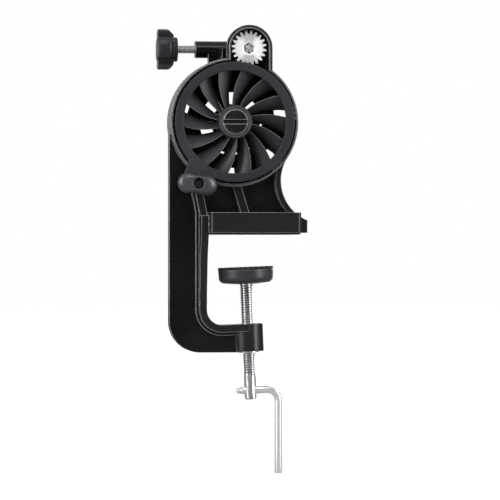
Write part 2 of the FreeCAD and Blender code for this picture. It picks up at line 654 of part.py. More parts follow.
def cut_arm_boss(body):
    """Bore for the threaded bush, and the screw's way out above it."""
    for drop, radius in (("(arm_drop + nut_sink)", f"{NUT_OUTER} + press_gap"),
                         ("(arm_drop - overcut)", "screw_radius + screw_room")):
        sketch = new_sketch(body, "XY_Plane",
                            {"Base.x": f"{drop} * sin(toe_in)", "Base.z": f"-{drop} * cos(toe_in)"},
                            (Vector(0, -1, 0), "toe_in"))
        draw_circle(sketch, "0", "0", radius)
        extrude(body, "Pocket", sketch, "boss_length + arm_web")


def cut_housing(body):
    """Wheel and pinion spaces, windows, and the bores of axle, shaft, arm and knob screw."""
    cavity, walls = lip_outlines("0")
    solid(body, "Y", HOUSE_FRONT, WALL_FRONT, [("wheel_x", "wheel_z", CAVITY)], "Pocket")
    solid(body, "Y", HOUSE_FRONT, "mid_wall_y", [cavity], "Pocket")
    solid(body, "Y", HOUSE_FRONT, "mid_wall_y", [walls], "Pocket")
    solid(body, "Y", MID_BACK, ARM_SOCKET_BACK, [(PINION_X, PINION_Z, "arm_bore")], "Pocket")
    solid(body, "Y", "mid_wall_y", MID_BACK,
          [(PINION_X, PINION_Z, "shaft_radius + running_gap + bush_wall + press_gap")], "Pocket")
    solid(body, "Y", BUSH_BACK, MID_BACK,
          [(PINION_X, PINION_Z, "clip_radius + clip_room / 2")], "Pocket")
    inner = [sector("window_low", "window_mid", angle, "window_half") for angle in INNER_WINDOWS]
    outer = [sector("window_outer", "window_rim", angle, "port_half") for angle in OUTER_WINDOWS]
    low = [sector("window_mid - window_slot", "window_mid", angle, "window_half")
           for angle in LOW_SLOTS]
    solid(body, "Y", WALL_FRONT, HOUSE_BACK, inner + outer + low, "Pocket")
    solid(body, "Y", BOSS_FRONT, WALL_FRONT, [("wheel_x", "wheel_z", "axle_boss")])
    solid(body, "Y", BOSS_FRONT, REAR_FACE,
          [("wheel_x", "wheel_z", "axle_tail + running_gap")], "Pocket")
    solid(body, "Y", RECESS_FLOOR, REAR_FACE,
          [("wheel_x", "wheel_z", "washer_radius + axle_nut_room")], "Pocket")
    solid(body, "X", SOCKET_X, PINION_X, [("knob_y", PINION_Z, "knob_screw + screw_room")], "Pocket")
    solid(body, "X", SOCKET_X, f"{SOCKET_X} + insert_length",
          [("knob_y", PINION_Z, "knob_screw + running_gap + insert_wall + press_gap")], "Pocket")
    slit = block(f"{PINION_X} - slit_left", f"{PINION_Z} + slit_top - slit_height",
                 f"{PINION_X} - slit_left + slit_width", f"{PINION_Z} + slit_top")
    front = "(knob_y - socket_radius)"
    solid(body, "Y", f"{front} - overcut", f"{front} + slit_depth", [slit], "Pocket")


def make_frame():
    """Moulded C-frame with wheel housing, pinion lobe, jaw, arm and knob socket."""
    body = new_body("frame_body")
    add_spine(body)
    add_neck(body)
    add_jaw(body)
    add_housing(body)
    add_socket(body)
    add_arm_boss(body)
    cut_housing(body)
    cut_arm_boss(body)
    return body


def make_jaw_grip():
    """Rubber sheet under the jaw, grooved across."""
    body = new_body("jaw_grip")
    half = "(jaw_width / 2 - grip_inset)"
    sheet_plan = block("throat_x + grip_inset", f"-{half}", f"{JAW_RIGHT} - grip_inset", half,
                       "jaw_corner - grip_inset")
    solid(body, "Z", "0", "grip_thick", [sheet_plan])
    first = "(throat_x + groove_pitch / 2)"
    groove = solid(body, "Y", f"-{half}", half,
                   [block(first, "-overcut", f"{first} + groove_width", "groove_depth")], "Pocket")
    span = f"floor(({JAW_RIGHT} - throat_x) / groove_pitch - 1)"
    along(body, groove, "X_Axis", f"groove_pitch * {span}", f"{span} + 1")
    return body


def make_clamp_nut():
    """Threaded bush moulded into the arm's boss."""
    body = leaning_body("clamp_nut")
    ring(body, "Z", "screw_radius + running_gap", NUT_OUTER,
         "-arm_drop - boss_length - nut_show", "-arm_drop - nut_sink - press_gap")
    return body


def make_axle():
    """Slotted axle: head, bearing length and a thinner tail through the rear wall."""
    body = new_body("wheel_axle", WHEEL_PLACE)
    tail_end = f"({REAR_FACE} + tail_proud)"
    head_front = f"({HEAD_BACK} - head_thick)"
    turned(body, "Y", [
        ("0", head_front), ("head_radius - head_bevel", head_front),
        ("head_radius", f"{head_front} + head_bevel"), ("head_radius", HEAD_BACK),
        ("axle_radius", HEAD_BACK), ("axle_radius", BOSS_FRONT), ("axle_tail", BOSS_FRONT),
        ("axle_tail", f"{tail_end} - head_bevel"), ("axle_tail - head_bevel", tail_end),
        ("0", tail_end)])
    slot = block("-head_radius - overcut", "-slot_width / 2",
                 "head_radius + overcut", "slot_width / 2")
    solid(body, "Y", f"{head_front} - overcut", f"{head_front} + slot_depth", [slot], "Pocket")
    return body


def make_axle_washer():
    """Washer under the axle's nut."""
    body = new_body("axle_washer", WHEEL_PLACE)
    ring(body, "Y", "axle_tail + running_gap", "washer_radius",
         RECESS_FLOOR, f"{RECESS_FLOOR} + washer_thick")
    return body


def hex_nut(label, place, flats, bore, low, high):
    """A hexagon nut on an axis along Y, with its corners bevelled."""
    body = new_body(label, place)
    solid(body, "Y", low, high, [hexagon("0", "0", flats), ("0", "0", bore)])
    corner = f"(({flats}) / (2 * cos(30)))"
    depth = f"(({corner} + overcut - ({flats}) / 2) / 2)"
    for start, sign in ((low, "+"), (high, "-")):
        turned(body, "Y", [(f"({flats}) / 2", start), (f"{corner} + overcut", start),
                           (f"{corner} + overcut", f"({start}) {sign} {depth}")], "Groove")
    return body


def make_shaft_bush():
    """Flanged bush for the output shaft, in the wall behind the pinion."""
    body = new_body("shaft_bush", PINION_PLACE)
    bore = "(shaft_radius + running_gap)"
    turned(body, "Y", [
        (bore, BUSH_FRONT), ("bush_flange", BUSH_FRONT), ("bush_flange", "mid_wall_y"),
        (f"{bore} + bush_wall", "mid_wall_y"), (f"{bore} + bush_wall", BUSH_BACK),
        (bore, BUSH_BACK)])
    return body


def make_knob_insert():
    """Threaded insert in the end of the star knob's socket."""
    body = new_body("knob_insert", KNOB_PLACE)
    inner = "(knob_screw + running_gap)"
    ring(body, "X", inner, f"{inner} + insert_wall", SOCKET_X,
         f"{SOCKET_X} + insert_length - press_gap")
    return body


# ---------------------------------------------------------------- wheel

def blade_section(body, radius, swirl, gap):
    """Slanted section of one blade, square to the radius at which it stands."""
    pitch = "(360 / blade_count)"
    angle = f"(blade_phase + {pitch} / 2 + ({swirl}))"
    sketch = new_sketch(body, "YZ_Plane",
                        {"Base.y": f"({radius}) * sin{angle}", "Base.z": f"({radius}) * cos{angle}"},
                        (Vector(-1, 0, 0), angle))
    half = f"(({radius}) * sin(({pitch} - ({gap})) / 2))"
    front = f"({RING_FRONT} + blade_front)"
    back = f"({front} + blade_rise)"
    draw_outline(sketch, [(front, half), (back, f"-{half}"),
                          (f"{back} + blade_thick", f"-{half}"),
                          (f"{front} + blade_thick", half)])
    return sketch


def make_crank_wheel():
    """Wheel with front ring, gear seat, hub, swirled blades and the handle boss."""
    body = new_body("crank_wheel", WHEEL_PLACE)
    inner = "(hub_radius - blade_sink)"
    outer = "(ring_hole + barrel_step + barrel_wall / 2)"
    middle = "((hub_radius + ring_hole) / 2)"
    blade = body.newObject("PartDesign::AdditiveLoft", "blade")
    blade.Profile = blade_section(body, outer, "0", "gap_rim")
    blade.Sections = [
        blade_section(body, middle, "blade_swirl / 2", "(gap_rim + gap_hub) / 2"),
        blade_section(body, inner, "blade_swirl", "gap_hub")]
    doc.recompute()
    around(body, blade, "Y_Axis", "blade_count")
    barrel_end = f"({RING_BACK} + gear_width + thrust_gap)"
    hollow = "(ring_hole + barrel_step)"
    turned(body, "Y", [
        ("ring_hole", RING_FRONT), ("ring_outer", RING_FRONT), ("ring_outer", RING_BACK),
        (BARREL, RING_BACK), (BARREL, barrel_end), (hollow, barrel_end),
        (hollow, RING_BACK), ("ring_hole", f"{RING_BACK} - barrel_step")])
    ring(body, "Y", "axle_radius + running_gap + bush_wall + press_gap", "hub_radius",
         HUB_FRONT, HUB_BACK)
    add_handle_boss(body)
    solid(body, "Y", HUB_FRONT, HUB_SEAT, [("0", "0", "head_radius + thrust_gap")], "Pocket")
    return body


def polar(radius, bearing):
    """A point of the wheel's front view, from its axis; bearing counts from the handle's hole."""
    angle = f"(throw_bearing + ({bearing}))"
    return f"({radius}) * cos{angle}", f"({radius}) * sin{angle}"


def add_handle_boss(body):
    """Two rounded ears and a web outside the ring, drilled for the handle."""
    middle_x, middle_z = f"({HOLE_X} - ear_left)", f"({HOLE_Z} - ear_drop)"
    step_x, step_z = "ear_offset * cos(ear_tilt)", "ear_offset * sin(ear_tilt)"
    ears = [(f"{middle_x} {side} {step_x}", f"{middle_z} {side} {step_z}") for side in ("-", "+")]
    edge, inside = "ring_outer - web_sink", "(ring_outer + ring_hole) / 2"
    web = [polar(edge, "web_from"), (*polar("throw - web_shoulder", "web_bend"), "ear_round"),
           polar("throw", "web_ear"), *ears, polar(edge, "web_to"),
           polar(edge, "web_to + web_turn"), polar(inside, "web_to + web_turn"),
           polar(inside, "web_from + web_turn")]
    solid(body, "Y", f"{RING_FRONT} - sweep_gap", EAR_BACK, [web])
    long, half = "(ear_offset + ear_radius)", "ear_radius"
    plan = ((f"-{long}", f"-{half}", "ear_corner"), ("0", f"ear_waist - {half}", "4 * ear_radius"),
            (long, f"-{half}", "ear_corner"), (long, half, "ear_corner"),
            ("0", f"{half} - ear_waist", "4 * ear_radius"), (f"-{long}", half, "ear_corner"))
    outline = [(f"{middle_x} + ({u}) * cos(ear_tilt) - ({v}) * sin(ear_tilt)",
                f"{middle_z} + ({u}) * sin(ear_tilt) + ({v}) * cos(ear_tilt)", radius)
               for u, v, radius in plan]
    solid(body, "Y", EAR_FRONT, EAR_BACK, [outline])
    front = value(EAR_FRONT)

    def on_front(edge):
        return all(abs(vertex.Y - front) < 1e-4 for vertex in edge.Vertexes)

    round_edges(body, "ear_round", on_front)
    solid(body, "Y", EAR_FRONT, EAR_BACK, [(HOLE_X, HOLE_Z, "handle_hole")], "Pocket")
    solid(body, "Y", f"{EAR_BACK} - handle_nut_height - press_gap", EAR_BACK,
          [hexagon(HOLE_X, HOLE_Z, "handle_nut_flats + 2 * press_gap")], "Pocket")


def make_wheel_bush():
    """Bearing bush in the wheel's hub."""
    body = new_body("wheel_bush", WHEEL_PLACE)
    bore = "(axle_radius + running_gap)"
    ring(body, "Y", bore, f"{bore} + bush_wall", HUB_SEAT, HUB_BACK)
    return body


def gear_wire(teeth, turn):
    """Outline of an involute gear in the XZ plane, one tooth pointing at turn degrees."""
    builder = fcgear.FCWireBuilder()
    involute.CreateExternalGear(builder, value("gear_module"), int(value(teeth)),
                                value("pressure_angle"), True)
    wire = Part.Wire([curve.toShape() for curve in builder.wire])
    wire.rotate(Vector(), Vector(0, 0, 1), value(turn))
    wire.rotate(Vector(), Vector(1, 0, 0), 90)
    return wire


def toothed(label, teeth, turn, low, high, finish):
    """A gear about an axis along Y; finish takes its solid and adds or cuts what it needs."""
    front = value(low)
    blank = Part.Face(gear_wire(teeth, turn)).extrude(Vector(0, value(high) - front, 0))
    blank.translate(Vector(0, front, 0))
    gear = doc.addObject("Part::Feature", label)
    gear.Label = label
    gear.Shape = finish(blank).removeSplitter()
    return gear


def cylinder(radius, low, high):
    """A solid cylinder about the Y axis."""
    front = value(low)
    return Part.makeCylinder(value(radius), value(high) - front, Vector(0, front, 0),
                             Vector(0, 1, 0))


def place(gear, x, z):
    """Binds the place of a gear to the expressions x and z."""
    gear.setExpression("Placement.Base.x", bound(x))
    gear.setExpression("Placement.Base.z", bound(z))
    return gear


def make_wheel_gear():
    """Ring gear behind the wheel's front ring, in mesh with the pinion at rest."""
    pitch = 360 / value("pinion_teeth")
    facing = value("pinion_phase - pinion_bearing - 180") + pitch / 2
    offset = (facing + pitch / 2) % pitch - pitch / 2
    turn = value("pinion_bearing") - offset * value("pinion_teeth / wheel_teeth")
    back = f"({RING_BACK} + gear_width)"

    def finish(blank):
        return blank.cut(cylinder(f"{BARREL} + press_gap", f"{RING_BACK} - overcut",
                                  f"{back} + overcut"))

    gear = toothed("wheel_gear", "wheel_teeth", turn, RING_BACK, back, finish)
    return place(gear, "wheel_x", "wheel_z")


def make_pinion():
    """Metal pinion with a bevelled hexagonal bore and a short hub behind."""
    def finish(blank):
        hub_back = f"({BUSH_FRONT} - thrust_gap)"
        hub = cylinder("pinion_hub", f"{PINION_BACK} - overcut", hub_back)
        radius = value("(shaft_hex / 2 + press_gap) / cos(30)")
        front = value(PINION_FRONT)
        corners = [Vector(radius * math.cos(angle), front, radius * math.sin(angle))
                   for angle in (math.radians(30 + 60 * i) for i in range(7))]
        hexagonal = Part.Face(Part.makePolygon(corners)).extrude(Vector(0, value("house_depth"), 0))
        wide = radius + value("bore_bevel")
        bevel = Part.makeCone(wide, 0, wide, Vector(0, front, 0), Vector(0, 1, 0))
        return blank.fuse(hub).cut(hexagonal).cut(bevel)

    gear = toothed("pinion", "pinion_teeth", value("pinion_phase"), PINION_FRONT, PINION_BACK,
                   finish)
    return place(gear, PINION_X, PINION_Z)


def make_drive_shaft():
    """Output shaft: hexagon in the pinion, round in the bush, socket for the spool arm's drive."""
    body = new_body("drive_shaft", PINION_PLACE)
    step = f"({BUSH_FRONT} - thrust_gap)"
    rear = f"({MID_BACK} - thrust_gap)"
    solid(body, "Y", f"{PINION_FRONT} + shaft_inset", step, [hexagon("0", "0", "shaft_hex")])
    solid(body, "Y", step, rear, [("0", "0", "shaft_radius")])
    turned(body, "Y", block("clip_seat", CLIP_FRONT, "shaft_radius + overcut",
                            f"{CLIP_FRONT} + clip_thick"), "Groove")
    solid(body, "Y", f"{rear} - drive_depth", rear, [hexagon("0", "0", "drive_hex")], "Pocket")
    return body


def make_shaft_clip():
    """Open retaining ring in the shaft's groove."""
    body = new_body("shaft_clip", PINION_PLACE)
    ring(body, "Y", "clip_seat + press_gap", "clip_radius", CLIP_FRONT,
         f"{CLIP_FRONT} + clip_thick")
    opening = block("-clip_mouth / 2", "-clip_radius - overcut", "clip_mouth / 2", "0")
    solid(body, "Y", CLIP_FRONT, f"{CLIP_FRONT} + clip_thick", [opening], "Pocket")
    return body


# ---------------------------------------------------------------- clamp

def make_clamp_pad():
    """Round foot: a shallow cup with a bored, slightly conical floor."""
    body = leaning_body("clamp_pad")
    top = f"({FOOT_TOP})"
    edge = f"({FOOT_TOP} - foot_height)"
    floor = f"({FOOT_BOTTOM} + foot_wall)"
    bore = "(screw_neck + running_gap)"
    turned(body, "Z", [
        ("foot_bore", top), ("foot_bore", floor), (bore, floor), (bore, FOOT_BOTTOM),
        ("foot_bore", FOOT_BOTTOM), ("foot_radius - foot_draft", edge, "foot_round"),
        ("foot_radius", top)])
    return body


def make_pad_grip():
    """Ribbed face of the foot."""
    body = leaning_body("pad_grip")
    solid(body, "Z", FOOT_TOP, f"{FOOT_TOP} + foot_grip + foot_rib", [("0", "0", "foot_radius")])
    half = "floor(foot_radius / foot_rib_pitch - 0.5)"
    groove = block(f"-foot_rib_pitch * ({half}) - foot_rib_pitch / 4", "-foot_radius - overcut",
                   f"-foot_rib_pitch * ({half}) + foot_rib_pitch / 4", "foot_radius + overcut")
    cut = solid(body, "Z", f"{FOOT_TOP} + foot_grip", f"{FOOT_TOP} + foot_grip + foot_rib",
                [groove], "Pocket")
    along(body, cut, "X_Axis", f"2 * foot_rib_pitch * {half}", f"2 * {half} + 1")
    return body


def make_pad_retainer():
    """Ring on the screw's neck that keeps it in the foot."""
    body = leaning_body("pad_retainer")
    low = f"({FOOT_BOTTOM} + foot_wall + thrust_gap / 2)"
    ring(body, "Z", "screw_neck + press_gap", "retainer_radius", low, f"{low} + retainer_thick")
    return body


def make_clamp_screw():
    """Clamp screw: neck, threaded length and plain end with a cross hole."""
    body = leaning_body("clamp_screw")
    turned(body, "Z", [
        ("0", f"{SHOULDER} + neck_length"), ("screw_neck", f"{SHOULDER} + neck_length"),
        ("screw_neck", SHOULDER), ("screw_radius", SHOULDER), ("screw_radius", THREAD_END),
        ("shank_radius", THREAD_END), ("shank_radius", f"{SCREW_BOTTOM} + head_bevel"),
        ("shank_radius - head_bevel", SCREW_BOTTOM), ("0", SCREW_BOTTOM)])
    solid(body, "X", "-screw_radius - overcut", "screw_radius + overcut",
          [("0", CROSS_HOLE, "rod_radius + running_gap")], "Pocket")
    return body


def make_clamp_handle():
    """Rod bent to a right angle, staked at its short end."""
    body = leaning_body("clamp_handle")
    leg_x = "(rod_reach + rod_drop * sin(toe_in))"
    route = new_sketch(body, "XZ_Plane")
    draw_outline(route, [("-rod_short", CROSS_HOLE), ("rod_reach", CROSS_HOLE, "rod_bend"),
                         (f"{leg_x} - 2 * rod_drop * sin(toe_in)", f"{CROSS_HOLE} - rod_drop")],
                 closed=False)
    section = new_sketch(body, "YZ_Plane", {"Base.z": "-rod_short"})
    draw_circle(section, "0", CROSS_HOLE, "rod_radius")
    rod = body.newObject("PartDesign::AdditivePipe", "clamp_handle_rod")
    rod.Profile = section
    rod.Spine = (route, [f"Edge{i}" for i in (1, 2, 3)])
    doc.recompute()
    solid(body, "X", "-rod_short", "stake_length - rod_short", [block(
        "-stake_width / 2", f"{CROSS_HOLE} - stake_height / 2",
        "stake_width / 2", f"{CROSS_HOLE} + stake_height / 2", "stake_height / 4")])
    return body


# ---------------------------------------------------------------- star knob

def make_star_knob():
    """Moulded knob with rounded lobes, chamfered towards its hub."""
    body = new_body("star_knob", KNOB_PLACE)
    left = f"({KNOB_X} - knob_length)"
    crown = f"({left} - knob_dome)"
    lobes_end = f"({KNOB_X} - knob_collar)"
    turned(body, "X", [
        ("0", crown), ("knob_hub - 2 * knob_dome", crown), ("knob_hub", left),
        ("knob_radius - knob_dome", left), ("knob_radius", f"{left} + knob_dome"),
        ("knob_radius", f"{lobes_end} - knob_chamfer"), ("knob_shoulder", lobes_end),
        ("knob_hub", lobes_end), ("knob_hub", f"{KNOB_X} - knob_dome"),
        ("knob_hub - knob_dome", KNOB_X), ("0", KNOB_X)])
    half_pitch = "(180 / knob_lobes)"
    reach = "(knob_hub + valley_radius)"
    valley = solid(body, "X", f"{left} - overcut", lobes_end,
                   [(f"{reach} * cos{half_pitch}", f"{reach} * sin{half_pitch}",
                     "valley_radius")], "Pocket")
    around(body, valley, "X_Axis", "knob_lobes")
    solid(body, "X", f"{KNOB_X} - knob_screw_in", KNOB_X,
          [("0", "0", "knob_screw + press_gap")], "Pocket")
    return body


def make_knob_screw():
    """Screw of the star knob, bored at its end for the pressure tip."""
    body = new_body("knob_screw", KNOB_PLACE)
    turned(body, "X", block("0", f"{KNOB_X} - knob_screw_in", "knob_screw", SCREW_END))
    solid(body, "X", f"{SCREW_END} - tip_length", SCREW_END,
          [("0", "0", "tip_stem + running_gap")], "Pocket")
    return body


def make_knob_tip():
    """Pressure tip that swivels in the screw's end."""
    body = new_body("knob_tip", KNOB_PLACE)
    face = f"({SCREW_END} + running_gap)"
    turned(body, "X", [
        ("0", f"{SCREW_END} - tip_length + running_gap"),
        ("tip_stem", f"{SCREW_END} - tip_length + running_gap"), ("tip_stem", face),
        ("tip_radius", face), ("tip_radius", f"{face} + tip_length"),
        ("0", f"{face} + tip_length")])
    return body


# ---------------------------------------------------------------- the whole part

WHEEL_PLACE = {"Placement.Base.x": "wheel_x", "Placement.Base.z": "wheel_z"}
PINION_PLACE = {"Placement.Base.x": PINION_X, "Placement.Base.z": PINION_Z}
KNOB_PLACE = {"Placement.Base.y": "knob_y", "Placement.Base.z": PINION_Z}
HANDLE_PLACE = {"Placement.Base.x": f"wheel_x + {HOLE_X}",
                "Placement.Base.z": f"wheel_z + {HOLE_Z}"}

nodes = [
    make_frame(), make_jaw_grip(), make_clamp_nut(), make_axle(), make_axle_washer(),
    hex_nut("axle_nut", WHEEL_PLACE, "axle_nut_flats", "axle_tail + press_gap",
            f"{RECESS_FLOOR} + washer_thick", f"{RECESS_FLOOR} + washer_thick + axle_nut_height"),
    make_shaft_bush(), make_knob_insert(),
    make_crank_wheel(), make_wheel_gear(), make_wheel_bush(),
    hex_nut("handle_nut", HANDLE_PLACE, "handle_nut_flats", "handle_thread",
            f"{EAR_BACK} - handle_nut_height", EAR_BACK),
    make_pinion(), make_drive_shaft(), make_shaft_clip(),
    make_clamp_pad(), make_pad_grip(), make_pad_retainer(), make_clamp_screw(),
    make_clamp_handle(),
    make_star_knob(), make_knob_screw(), make_knob_tip(),
]
doc.recompute()

for item in doc.Objects:
    if "Invalid" in item.State or "Error" in item.State:
        raise RuntimeError(f"{item.Label} could not be built: {item.State}")
for node in nodes:
    if node.Shape.isNull() or not node.Shape.isValid():
        raise RuntimeError(f"{node.Label} has no valid shape")

os.makedirs("parts", exist_ok=True)
for node in nodes:
    node.Shape.exportStep(f"parts/{node.Label}.step")
    print(node.Label, len(node.Shape.Solids), round(node.Shape.Volume, 1))
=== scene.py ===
"""Looks of a clamp-on fishing line winder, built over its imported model, in metres.

Each sub-assembly is a class: its fields are sizes in millimetres, and its methods build surfaces
worked out with numpy and dress them. Finishes are frozen dataclasses.
"""
import logging
import math
from dataclasses import dataclass, field
from enum import Enum

import bmesh
import bpy
import numpy as np
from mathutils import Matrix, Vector


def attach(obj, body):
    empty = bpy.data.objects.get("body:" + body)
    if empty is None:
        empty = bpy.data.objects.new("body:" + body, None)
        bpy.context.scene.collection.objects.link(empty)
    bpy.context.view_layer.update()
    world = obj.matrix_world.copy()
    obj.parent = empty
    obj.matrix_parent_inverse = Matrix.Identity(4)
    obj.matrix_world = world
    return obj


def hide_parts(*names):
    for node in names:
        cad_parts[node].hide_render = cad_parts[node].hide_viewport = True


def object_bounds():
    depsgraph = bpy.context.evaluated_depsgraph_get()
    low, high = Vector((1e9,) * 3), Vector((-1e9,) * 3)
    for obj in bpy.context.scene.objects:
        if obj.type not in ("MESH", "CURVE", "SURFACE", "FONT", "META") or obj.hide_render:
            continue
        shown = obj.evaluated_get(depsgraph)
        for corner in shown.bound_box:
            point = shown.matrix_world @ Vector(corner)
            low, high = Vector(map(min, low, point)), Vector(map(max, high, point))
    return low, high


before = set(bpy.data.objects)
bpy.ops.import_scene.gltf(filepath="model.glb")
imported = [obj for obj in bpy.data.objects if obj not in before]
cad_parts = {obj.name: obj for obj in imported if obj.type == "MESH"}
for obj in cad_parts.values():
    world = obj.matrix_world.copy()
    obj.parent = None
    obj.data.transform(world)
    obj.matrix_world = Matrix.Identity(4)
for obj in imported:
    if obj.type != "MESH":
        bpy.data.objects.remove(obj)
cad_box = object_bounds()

MM = 0.001
TURN = 2 * math.pi
SOCKET = bpy.types.NodeSocket
PIECE = bpy.types.Object
TRIPLE = tuple[float, float, float]
PAIR = tuple[float, float]
MERGE_DISTANCE = 1e-6
BUILT_SHARP = math.radians(42)
COPIED_SHARP = math.radians(30)
SCREW_SIDES = 72
RINGS_PER_PITCH = 12
GROOVE_GAIN = 2.2
GROOVE_REST = 0.9
log = logging.getLogger("line_winder")

# ---- surfaces


@dataclass(frozen=True)
class Axis:
    """A line in millimetres with two directions square to it, to place turned surfaces."""

    origin: TRIPLE
    along: TRIPLE
    across: TRIPLE

    def points(self, u: np.ndarray, v: np.ndarray, along: np.ndarray) -> np.ndarray:
        """Point = origin + u * across + v * third direction + along * axis.

        Args:
            u: Distances along the across direction.
            v: Distances along the direction square to both.
            along: Distances along the axis.

        Returns:
            Points in millimetres, in the common shape of the three arrays.
        """
        axis, across = np.array(self.along), np.array(self.across)
        third = np.cross(axis, across)
        parts = np.broadcast_arrays(u, v, along)
        u, v, along = (part[..., None] for part in parts)
        return np.array(self.origin) + u * across + v * third + along * axis


def around(count: int) -> np.ndarray:
    """Angles evenly spaced round one turn, as a row."""
    return np.linspace(0, TURN, count, endpoint=False)[None, :]


def smoothstep(value: np.ndarray) -> np.ndarray:
    """t^2 (3 - 2 t), with t the value clamped to 0..1."""
    share = np.clip(value, 0, 1)
    return share * share * (3 - 2 * share)


def linked(name: str, data: bpy.types.ID) -> PIECE:
    """Makes an object of its data and links it to the scene."""
    made = bpy.data.objects.new(name, data)
    bpy.context.scene.collection.objects.link(made)
    return made


def surface(name: str, points: np.ndarray, closed_rings: bool = False) -> PIECE:
    """Puts a grid of points into a mesh of quads; every ring (row) is closed.

    Point (i, j) joins (i + 1, j), (i + 1, j + 1) and (i, j + 1), with j counted round the ring.

    Args:
        name: Name of the piece.
        points: Array of rings by points by 3, in millimetres.
        closed_rings: Whether the last ring joins the first one.

    Returns:
        The piece, smooth, with doubled points merged and its faces turned outwards.
    """
    rings, count = points.shape[:2]
    ids = np.arange(rings * count).reshape(rings, count)
    below = ids if closed_rings else ids[:-1]
    above = np.roll(ids, -1, axis=0) if closed_rings else ids[1:]
    quads = np.stack([below, np.roll(below, -1, axis=1), np.roll(above, -1, axis=1), above], -1)
    return mesh_piece(name, points.reshape(-1, 3) * MM, quads.reshape(-1, 4))


def mesh_piece(name: str, vertices: np.ndarray, faces: np.ndarray) -> PIECE:
    """Makes a smooth piece from vertices in metres and faces, merged and turned outwards."""
    mesh = bpy.data.meshes.new(name)
    mesh.from_pydata(vertices.tolist(), [], faces.tolist())
    build = bmesh.new()
    build.from_mesh(mesh)
    bmesh.ops.remove_doubles(build, verts=build.verts, dist=MERGE_DISTANCE)
    bmesh.ops.recalc_face_normals(build, faces=build.faces)
    build.to_mesh(mesh)
    build.free()
    mesh.shade_smooth()
    mesh.set_sharp_from_angle(angle=BUILT_SHARP)
    return linked(name, mesh)


def smooth_copy(node: str, name: str) -> PIECE:
    """A copy of a CAD node with its doubled corners merged and its curved faces smooth.

    Args:
        node: The CAD node; it is left as it is.
        name: Name of the copy.

    Returns:
        The copy, with edges over 30 degrees kept sharp.
    """
    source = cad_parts[node].data
    corners = np.empty(len(source.vertices) * 3)
    source.vertices.foreach_get("co", corners)
    source.calc_loop_triangles()
    triangles = np.empty(len(source.loop_triangles) * 3, np.int32)
    source.loop_triangles.foreach_get("vertices", triangles)
    cells = np.round(corners.reshape(-1, 3) / 1e-7).astype(np.int64)
    _, first, same = np.unique(cells, axis=0, return_index=True, return_inverse=True)
    faces = same.reshape(-1)[triangles].reshape(-1, 3)
    whole = (faces != np.roll(faces, 1, axis=1)).all(axis=1)
    mesh = bpy.data.meshes.new(name)
    mesh.from_pydata(corners.reshape(-1, 3)[first].tolist(), [], faces[whole].tolist())
    mesh.shade_smooth()
    mesh.set_sharp_from_angle(angle=COPIED_SHARP)
    return linked(name, mesh)


def rounded(corners: list[tuple[float, ...]], closed: bool = False, steps: int = 6) -> np.ndarray:
    """A line through corners, each given way to a parabola tangent to both of its sides.

    With A and B at the corner's radius from C along its sides, the parabola is
    (1 - t)^2 A + 2 t (1 - t) C + t^2 B.

    Args:
        corners: Corners (x, y) or (x, y, radius).
        closed: Whether the last corner joins the first one.
        steps: Points on each parabola.

    Returns:
        Array of points by 2.
    """
    places = np.array([corner[:2] for corner in corners], float)
    radii = np.array([corner[2] if len(corner) > 2 else 0.0 for corner in corners])
    if not closed:
        radii[[0, -1]] = 0
    into = np.roll(places, 1, axis=0) - places
    out = np.roll(places, -1, axis=0) - places
    reach = [np.minimum(radii / np.maximum(np.linalg.norm(side, axis=1), 1e-9), 0.49)
             for side in (into, out)]
    start, end = places + into * reach[0][:, None], places + out * reach[1][:, None]
    t = np.linspace(0, 1, steps)[None, :, None]
    curve = ((1 - t) ** 2 * start[:, None] + 2 * t * (1 - t) * places[:, None]
             + t ** 2 * end[:, None]).reshape(-1, 2)
    keep = np.r_[True, np.linalg.norm(np.diff(curve, axis=0), axis=1) > 1e-6]
    return curve[keep]


def resampled(line: np.ndarray, count: int) -> np.ndarray:
    """Points evenly spaced by arc length round a closed line."""
    whole = np.vstack([line, line[:1]])
    lengths = np.r_[0, np.cumsum(np.linalg.norm(np.diff(whole, axis=0), axis=1))]
    places = np.linspace(0, lengths[-1], count, endpoint=False)
    return np.stack([np.interp(places, lengths, whole[:, k]) for k in (0, 1)], axis=1)


def inset(line: np.ndarray, depth: float) -> np.ndarray:
    """A closed line moved inwards by depth along its own normals, whichever way it runs."""
    chord = np.roll(line, -1, axis=0) - np.roll(line, 1, axis=0)
    normal = np.stack([-chord[:, 1], chord[:, 0]], axis=1)
    normal /= np.maximum(np.linalg.norm(normal, axis=1, keepdims=True), 1e-9)
    area = np.sum(line[:, 0] * np.roll(line[:, 1], -1) - np.roll(line[:, 0], -1) * line[:, 1])
    return line + normal * depth * math.copysign(1, area)


def lathe(name: str, profile: np.ndarray, axis: Axis, turns: int = 128) -> PIECE:
    """A profile of (radius, along) carried round an axis: u = r cos a, v = r sin a."""
    angle = around(turns)
    radius, along = profile[:, 0][:, None], profile[:, 1][:, None]
    return surface(name, axis.points(radius * np.cos(angle), radius * np.sin(angle), along))


